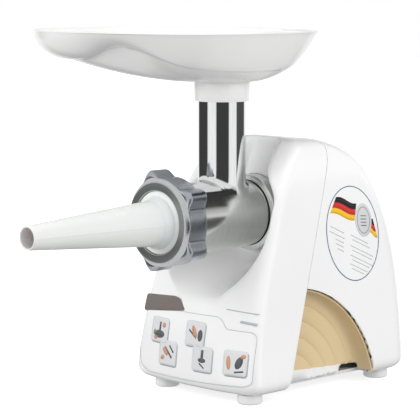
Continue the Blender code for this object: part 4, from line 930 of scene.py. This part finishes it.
def makeTray():
    steps = 200
    turns = []
    for i in range(steps):  # closer together where the outline bends most
        turn = math.tau * (i + 0.5) / steps
        turns.append(turn - 0.18 * math.sin(4 * turn) / 2)

    def floorRow(share, inset):
        row = []
        for turn in turns:
            x, y, z = trayWall(turn, math.radians(90), inset)
            lowX, lowY = tray["collarOuter"] * math.cos(turn), tray["collarOuter"] * math.sin(turn)
            drop = (tray["collarTop"] + inset - z) * (1 - (1 - share) ** 2)
            row.append((x + (lowX - x) * share, y + (lowY - y) * share, z + drop))
        return row

    def side(inset):
        lifts = (3, 8, 14, 21, 29, 38, 47, 56, 65, 74, 82, 87, 90)
        rows = [[trayWall(t, math.radians(lift), inset) for t in turns] for lift in lifts]
        shares = (0.06, 0.14, 0.24, 0.35, 0.47, 0.58, 0.7, 0.8, 0.9)
        return rows + [floorRow(share, inset) for share in shares]

    def ring(radius, z):
        return [(radius * math.cos(t), radius * math.sin(t), z) for t in turns]

    def lip(inset, drop):
        return [(*trayPoint(t, inset), tray["rim"] - drop) for t in turns]

    outside = [lip(0.35, 0.2), lip(0.0, 0.7)] + side(0.0)
    outside += [ring(tray["collarOuter"] + 1.2, tray["collarTop"] + 0.4),
                ring(tray["collarOuter"] + 0.3, tray["collarTop"] - 0.6),
                ring(tray["collarOuter"], tray["collarTop"] - 2),
                ring(tray["collarOuter"] - 0.2, tray["collarBottom"] + 0.8),
                ring(tray["collarOuter"] - 0.8, tray["collarBottom"])]
    inside = [lip(tray["wall"] - 0.35, 0.2), lip(tray["wall"], 0.7)] + side(tray["wall"])
    inside += [ring(tray["collarInner"] + 1.5, tray["collarTop"] + tray["wall"]),
               ring(tray["collarInner"] + 0.3, tray["collarTop"] + 1.2),
               ring(tray["collarInner"], tray["collarTop"] - 0.5),
               ring(tray["collarInner"], tray["collarBottom"] + 0.6),
               ring(tray["collarInner"] + 0.5, tray["collarBottom"])]
    top = [lip(1.0, 0.0)]
    return skin(top + outside + inside[::-1], loop=True)


piece("meatTray", makeTray(), finishes["trayWhite"], "tray", ["tray"], sharp=45)
print("tray made")

# Printed panel on the front face


def ink(name, colour, gloss=0.3, drift=0.03, **shader):
    return plastic(name, colour, gloss, drift=drift, peel=0.15, dust=0.02, bump=(0.06, 0.03), **shader)


inks = {
    "line": ink("inkGrey", (0.5, 0.51, 0.53)),
    "tab": ink("inkTaupe", (0.165, 0.14, 0.13), drift=0.06),
    "tile": ink("inkTile", (0.68, 0.69, 0.7), drift=0.1),
    "shadow": ink("inkShadow", (0.42, 0.42, 0.43), 0.5, drift=0.1),
    "dark": ink("inkDark", (0.1, 0.1, 0.11)),
    "blue": ink("inkBlue", (0.13, 0.15, 0.28)),
    "black": ink("inkBlack", (0.02, 0.02, 0.02)),
    "red": ink("inkRed", (0.62, 0.03, 0.03)),
    "gold": ink("inkGold", (0.85, 0.5, 0.02)),
    "warm": ink("inkWarm", (0.6, 0.32, 0.2), drift=0.12),
    "green": ink("inkGreen", (0.2, 0.4, 0.12), drift=0.12),
    "foil": ink("inkFoil", (0.6, 0.61, 0.62), 0.22, drift=0.12),
}


def onFront(x, z, lift):
    return (x, faceY(x, z) - lift, z)


def onSide(y, z, lift):
    return (halfWidth(z) + lift, y, z)


def flatPatch(outline, where, lift, pitch=2.5):
    # a filled outline, cut into small cells and laid on the curved skin
    mesh = bmesh.new()
    face = mesh.faces.new([mesh.verts.new((u, v, 0)) for u, v in outline])
    lows = [min(p[i] for p in outline) for i in (0, 1)]
    highs = [max(p[i] for p in outline) for i in (0, 1)]
    bmesh.ops.triangulate(mesh, faces=[face])
    for axis in (0, 1):
        cuts = int((highs[axis] - lows[axis]) / pitch)
        for i in range(1, cuts + 1):
            spot = lows[axis] + (highs[axis] - lows[axis]) * i / (cuts + 1)
            normal = (1, 0, 0) if axis == 0 else (0, 1, 0)
            bmesh.ops.bisect_plane(mesh, geom=mesh.verts[:] + mesh.edges[:] + mesh.faces[:],
                                   plane_co=(spot, spot, 0), plane_no=normal)
    for vert in mesh.verts:
        vert.co = where(vert.co.x, vert.co.y, lift)
    return mesh


def strip(points, width, where, lift, loop=False):
    # a printed line of even width along points
    rows = []
    count = len(points)
    for i, (u, v) in enumerate(points):
        before = points[i - 1] if i > 0 or loop else points[i]
        after = points[(i + 1) % count] if i < count - 1 or loop else points[i]
        along = Vector((after[0] - before[0], after[1] - before[1]))
        along.normalize()
        rows.append([where(u - along.y * width / 2, v + along.x * width / 2, lift),
                     where(u + along.y * width / 2, v - along.x * width / 2, lift)])
    return skin(rows, wrap=False, loop=loop)


def rounded(corners, radius, steps=6):
    # a closed outline with its corners rounded
    outline = []
    count = len(corners)
    for i in range(count):
        here = Vector(corners[i])
        before = Vector(corners[i - 1]) - here
        after = Vector(corners[(i + 1) % count]) - here
        reach = min(radius, before.length * 0.45, after.length * 0.45)
        start, end = here + before.normalized() * reach, here + after.normalized() * reach
        for k in range(steps + 1):
            outline.append(tuple(bent(start, here, end, k / steps)))
    return outline


def finely(points, pitch=3.0, loop=True):
    fine = []
    count = len(points)
    for i in range(count if loop else count - 1):
        a, b = Vector(points[i]), Vector(points[(i + 1) % count])
        parts = max(1, int((b - a).length / pitch))
        fine += [tuple(a.lerp(b, k / parts)) for k in range(parts)]
    return fine if loop else fine + [points[-1]]


def oval(centre, radii, steps=72, lean=0.0):
    outline = []
    for i in range(steps):
        turn = math.tau * i / steps
        u, v = radii[0] * math.cos(turn), radii[1] * math.sin(turn)
        outline.append((centre[0] + u * math.cos(lean) - v * math.sin(lean),
                        centre[1] + u * math.sin(lean) + v * math.cos(lean)))
    return outline


def printed(name, meshes, material, node="front_shell"):
    whole = joined(meshes)
    out = Vector((0, -1, 0)) if node == "front_shell" else Vector((1, 0, 0))
    for face in whole.faces:
        if face.normal.dot(out) < 0:
            face.normal_flip()
    thing = piece(name, whole, material, "housing", tidy=False)
    sheet = thing.modifiers.new("sheet", "SOLIDIFY")
    sheet.thickness = 0.08 * mm
    sheet.offset = -1


frontPanel = {
    "outline": [(-71, 71), (-20, 76.5), (31, 77), (37, 73), (41, 67.3), (72, 66.5), (72, 22), (64, 18.5),
                (0, 16.5), (-55, 16.5), (-66, 22), (-71, 40)],
    "tab": [(-71, 70.5), (-70.5, 86), (-27.5, 89), (-20, 87.5), (-11, 77.6)],
    "tiles": [(-41.5, 56.8), (6.1, 59.2), (-27.5, 37.5), (17.5, 38.0), (54.0, 38.6)],
    "tileSize": (24.0, 22.5),
    "lines": [((38, 84.5), (70, 82.5), 0.9), ((54, 75), (70, 73.5), 2.2)],
}


def pictogram(kind, u, v):
    # plain kitchen shapes: a bowl, a plate with a cutter, sausages, a grinder and a vegetable
    darks, warms, greens = [], [], []

    def dot(cx, cy, rx, ry, lean=0.0):
        return flatPatch(oval((u + cx, v + cy), (rx, ry), 24, lean), onFront, 0.26, 6)

    def bar(x0, y0, x1, y1, width):
        return strip(finely([(u + x0, v + y0), (u + x1, v + y1)], 3, False), width, onFront, 0.26)

    if kind == 0:
        darks += [dot(0, -4, 7, 3.6), bar(0, -1, 0, 7, 2.4)]
        warms += [dot(-5, -7.4, 2.6, 1.8), dot(5.4, 4.6, 2.4, 2.4)]
        greens += [dot(-7.2, -3, 1.8, 2.6)]
    elif kind == 1:
        darks += [dot(6.5, -1, 3.0, 5.2), bar(-8, 3, 2, -4, 1.6)]
        warms += [dot(-1, 1.5, 2.4, 6.2, 0.5)]
    elif kind == 2:
        darks += [bar(-4, 5, 6, -4, 2.0), bar(2, 7, 8, 1, 1.6)]
        warms += [dot(-6.5, -4.8, 2.9, 2.0, 0.5), dot(-3, 1, 4.6, 2.2, -0.8)]
    elif kind == 3:
        darks += [bar(0, 8, 0, 1, 3.0), dot(0, -1.2, 4.6, 2.2), bar(-3, -4, 3, -8, 1.4)]
    else:
        darks += [dot(4, 0.5, 3.4, 5.8, -0.4), bar(0, -8, 9, -6.6, 1.6)]
        warms += [dot(-6.4, 0, 2.2, 6.2, 0.1), dot(7.8, 6.4, 2.6, 2.0, 0.4)]
    return darks, warms, greens


def makeFrontPrint():
    outline = rounded(frontPanel["outline"], 8)
    printed("frontPanelLine", [strip(finely(outline), 0.55, onFront, 0.14, True)], inks["line"])
    printed("frontPanelTab", [flatPatch(rounded(frontPanel["tab"], 3.0), onFront, 0.16)], inks["tab"])
    tiles, shadows, darks, warms, greens = [], [], [], [], []
    w, h = (size / 2 for size in frontPanel["tileSize"])
    for kind, (u, v) in enumerate(frontPanel["tiles"]):
        corners = [(u - w, v - h), (u + w, v - h), (u + w, v + h), (u - w, v + h)]
        tiles.append(flatPatch(rounded(corners, 3), onFront, 0.2))
        moved = [(a + 1.0, b - 1.1) for a, b in corners]
        shadows.append(flatPatch(rounded(moved, 3.4), onFront, 0.13))
        d, wm, g = pictogram(kind, u, v)
        darks, warms, greens = darks + d, warms + wm, greens + g
    printed("frontTileShadows", shadows, inks["shadow"])
    printed("frontTiles", tiles, inks["tile"])
    printed("frontPictogramsDark", darks, inks["dark"])
    printed("frontPictogramsWarm", warms, inks["warm"])
    printed("frontPictogramsGreen", greens, inks["green"])
    bars = [strip(finely([a, b], 3, False), width, onFront, 0.14) for a, b, width in frontPanel["lines"]]
    printed("frontPanelBars", bars, inks["line"])


makeFrontPrint()

# Oval label on the right side

label = {
    "centre": (105.0, 142.5), "radii": (36.0, 43.5), "lean": 0.16, "tilt": 0.6, "textSlope": 0.44,
    "badge": (15.5, 12.5), "badgeRadii": (11.5, 15.5), "badgeRing": (8.6, 12.2),
    "badgeMarks": (7.5, 10.5, 13.5, 16.5),
    "ribbons": (((84.5, 177.6), (112.0, 171.0), (108.0, 155.5), (75.5, 163.5)),
                ((125.0, 160.0), (133.5, 155.0), (139.0, 137.0), (126.0, 141.5))),
    # height, start and end of each line that stands for text, in two columns
    "text": ((-4, -30, -12), (-9, -32, -12), (-13.5, -24, -13), (-17.5, -24, -14), (-21.5, -22, -14),
             (-2.5, -3, 20), (-6, -1, 22), (-12.5, -4, 26), (-16, -2, 24), (-21.5, -5, 25), (-25, -3, 20),
             (-30, -6, 17), (-33.5, -4, 12)),
}


def labelPoint(u, v):
    # label axes: u runs back, v up, leaning with the label
    drop = label["tilt"] * math.sin(label["lean"])
    return label["centre"][0] + u * math.cos(label["lean"]), label["centre"][1] + v - u * drop


def textPoint(u, v):  # the text lines slope more than the label
    return label["centre"][0] + u, label["centre"][1] + v - u * label["textSlope"]


def makeLabel():
    edge = [labelPoint(*p) for p in oval((0, 0), label["radii"], 120)]
    smaller = [radius - 0.3 for radius in label["radii"]]
    field = flatPatch([labelPoint(*p) for p in oval((0, 0), smaller, 96)], onSide, 0.1)
    printed("labelField", [field], ink("inkField", (0.84, 0.845, 0.84), 0.28), "rear_shell")
    printed("labelOutline", [strip(edge, 0.9, onSide, 0.14, True)], inks["blue"], "rear_shell")
    bands = {"black": [], "red": [], "gold": []}
    for corners in label["ribbons"]:
        topStart, topEnd, bottomEnd, bottomStart = (Vector(corner) for corner in corners)
        for i, colour in enumerate(("black", "red", "gold")):
            rows = []
            for k in range(15):
                t = k / 14
                wave = Vector((0, 1.5 * math.sin(t * math.pi * 1.7 + 0.4) - 0.6))
                top, bottom = topStart.lerp(topEnd, t) + wave, bottomStart.lerp(bottomEnd, t) + wave
                rows.append([onSide(*top.lerp(bottom, share / 3), 0.15) for share in (i, i + 1)])
            bands[colour].append(skin(rows, wrap=False))
    for colour, meshes in bands.items():
        printed("labelRibbon" + colour.capitalize(), meshes, inks[colour], "rear_shell")
    badge = [labelPoint(*p) for p in oval(label["badge"], label["badgeRadii"], 60)]
    printed("labelBadge", [flatPatch(badge, onSide, 0.22)], inks["foil"], "rear_shell")
    ring = [labelPoint(*p) for p in oval(label["badge"], label["badgeRing"], 60)]
    marks = [strip(ring, 0.4, onSide, 0.32, True)]
    for v in label["badgeMarks"]:
        marks.append(strip(finely([labelPoint(11.5, v), labelPoint(19.5, v)], 3, False), 0.7, onSide, 0.32))
    lines = [strip(finely([textPoint(low, v), textPoint(high, v)], 3, False), 0.75, onSide, 0.15)
             for v, low, high in label["text"]]
    printed("labelLines", lines, inks["line"], "rear_shell")
    printed("labelBadgeMarks", marks, inks["dark"], "rear_shell")


makeLabel()
print("printed panels made")

# Studio: pale floor, soft lights, camera

studio = {
    "floorSize": 6.0, "floorGlow": 0.5, "floorRoughness": 0.75, "floorTones": (0.885, 0.915),
    "fillBelow": 0.56, "fillAbove": 0.9,  # soft light from all round
    # bands that polished metal mirrors: degrees round from the camera's side, and brightness
    "bands": ((-180, 1.0), (-150, 1.0), (-142, 0.06), (-76, 0.05), (-70, 0.95), (-30, 0.95), (-26, 0.05),
              (31, 0.05), (35, 0.95), (71, 0.95), (76, 0.08), (128, 0.08), (136, 1.0)),
    # brightness by height, from straight down at -1 to straight up at 1
    "ahead": ((-1, 0.8), (-0.3, 0.8), (0.1, 0.8), (1, 0.85)),
    "behind": ((-1, 0.25), (-0.45, 0.3), (-0.15, 0.55), (0.1, 0.8), (0.2, 0.62), (0.36, 0.4), (0.42, 0.04),
               (0.8, 0.04), (0.85, 1.0), (1, 1.0)),
    # place, target, size and watts of each soft box
    "boxes": {
        "softKey": ((-0.9, -1.7, 0.9), (0, 0, 0.15), (1.2, 1.0), 18.5),
        "softTop": ((0.3, 0.3, 2.0), (0, 0, 0.1), (1.8, 1.8), 3.5),
        "softSide": ((1.8, 0.3, 0.8), (0, 0, 0.15), (1.0, 1.2), 13),
    },
}
view = {"place": (1.29186, -1.185, 0.373), "target": (0.0453, 0.023, 0.166), "lens": 163.9, "sensor": 36.0}


def makeFloor():
    mesh = bmesh.new()
    bmesh.ops.create_grid(mesh, x_segments=40, y_segments=40, size=studio["floorSize"])
    data = bpy.data.meshes.new("studioFloor")
    mesh.to_mesh(data)
    mesh.free()
    material, tree, shader = newMaterial("studioFloor")
    tone = remap(tree, noise(tree, objectPlace(tree), 3.0, 2.0), 0.0, 1.0, *studio["floorTones"])
    tree.links.new(tone, shader.inputs["Base Color"])
    shader.inputs["Roughness"].default_value = studio["floorRoughness"]
    shader.inputs["Emission Color"].default_value = (1, 1, 1, 1)
    shader.inputs["Emission Strength"].default_value = studio["floorGlow"]
    data.materials.append(material)
    floor = bpy.data.objects.new("studioFloor", data)
    bpy.context.scene.collection.objects.link(floor)
    floor.visible_glossy = False
    floor.visible_diffuse = False
    floor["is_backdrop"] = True


makeFloor()


def levelRamp(tree, source, stops):
    # grey levels at places from 0 to 1
    node = addNode(tree, "ShaderNodeValToRGB", [("Fac", source)])
    elements = node.color_ramp.elements
    while len(elements) > 1:
        elements.remove(elements[-1])
    for i, (spot, level) in enumerate(stops):
        element = elements.new(spot) if i else elements[0]
        element.position = spot
        element.color = (level, level, level, 1)
    return node.outputs[0]


def makeWorld():
    world = bpy.data.worlds.new("studio")
    bpy.context.scene.world = world
    world.use_nodes = True
    tree = world.node_tree
    tree.nodes.clear()
    direction = addNode(tree, "ShaderNodeTexCoord").outputs["Generated"]
    apart = addNode(tree, "ShaderNodeSeparateXYZ", [(0, direction)]).outputs
    height = remap(tree, apart["Z"], -1.0, 1.0)
    ahead = levelRamp(tree, height, [((z + 1) / 2, level) for z, level in studio["ahead"]])
    behind = levelRamp(tree, height, [((z + 1) / 2, level) for z, level in studio["behind"]])
    ceiling = mixColours(tree, remap(tree, apart["Y"], 0.15, 0.3), ahead, behind)
    side = Vector(view["place"]) - Vector(view["target"])
    cameraTurn = math.degrees(math.atan2(side.y, side.x))
    stops = sorted((((cameraTurn + angle + 180) % 360) / 360, level) for angle, level in studio["bands"])
    turn = combine(tree, "ARCTAN2", apart["Y"], apart["X"])
    bands = levelRamp(tree, remap(tree, turn, -math.pi, math.pi), stops)
    overLow, underHigh = remap(tree, apart["Z"], -0.38, -0.3), remap(tree, apart["Z"], 0.02, 0.1, 1.0, 0.0)
    mirrored = mixColours(tree, combine(tree, "MULTIPLY", overLow, underHigh), ceiling, bands)
    fill = remap(tree, apart["Z"], -0.35, 0.25, studio["fillBelow"], studio["fillAbove"])
    rays = addNode(tree, "ShaderNodeLightPath").outputs
    lit = mixColours(tree, rays["Is Glossy Ray"], fill, mirrored)
    shown = mixColours(tree, rays["Is Camera Ray"], lit, (1.0, 1.0, 1.0, 1))
    light = addNode(tree, "ShaderNodeBackground", [("Color", shown)], in_Strength=1.0)
    addNode(tree, "ShaderNodeOutputWorld", [("Surface", light.outputs[0])])


makeWorld()


def softBox(name, location, target, size, energy):
    data = bpy.data.lights.new(name, "AREA")
    data.shape = "RECTANGLE"
    data.size, data.size_y = size
    data.energy = energy
    data.spread = math.pi
    light = bpy.data.objects.new(name, data)
    light.location = location
    light.rotation_euler = (Vector(target) - Vector(location)).to_track_quat("-Z", "Y").to_euler()
    bpy.context.scene.collection.objects.link(light)
    light.visible_glossy = False


for boxName, setting in studio["boxes"].items():
    softBox(boxName, *setting)

cameraData = bpy.data.cameras.new("camera")
cameraData.lens = view["lens"]
cameraData.sensor_width = view["sensor"]
cameraData.clip_start, cameraData.clip_end = 0.05, 50
camera = bpy.data.objects.new("camera", cameraData)
camera.location = view["place"]
camera.rotation_euler = (Vector(view["target"]) - Vector(view["place"])).to_track_quat("-Z", "Y").to_euler()
bpy.context.scene.collection.objects.link(camera)
bpy.context.scene.camera = camera
bpy.context.scene.view_settings.view_transform = "Standard"
print("studio made")

bpy.context.view_layer.update()
low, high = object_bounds()
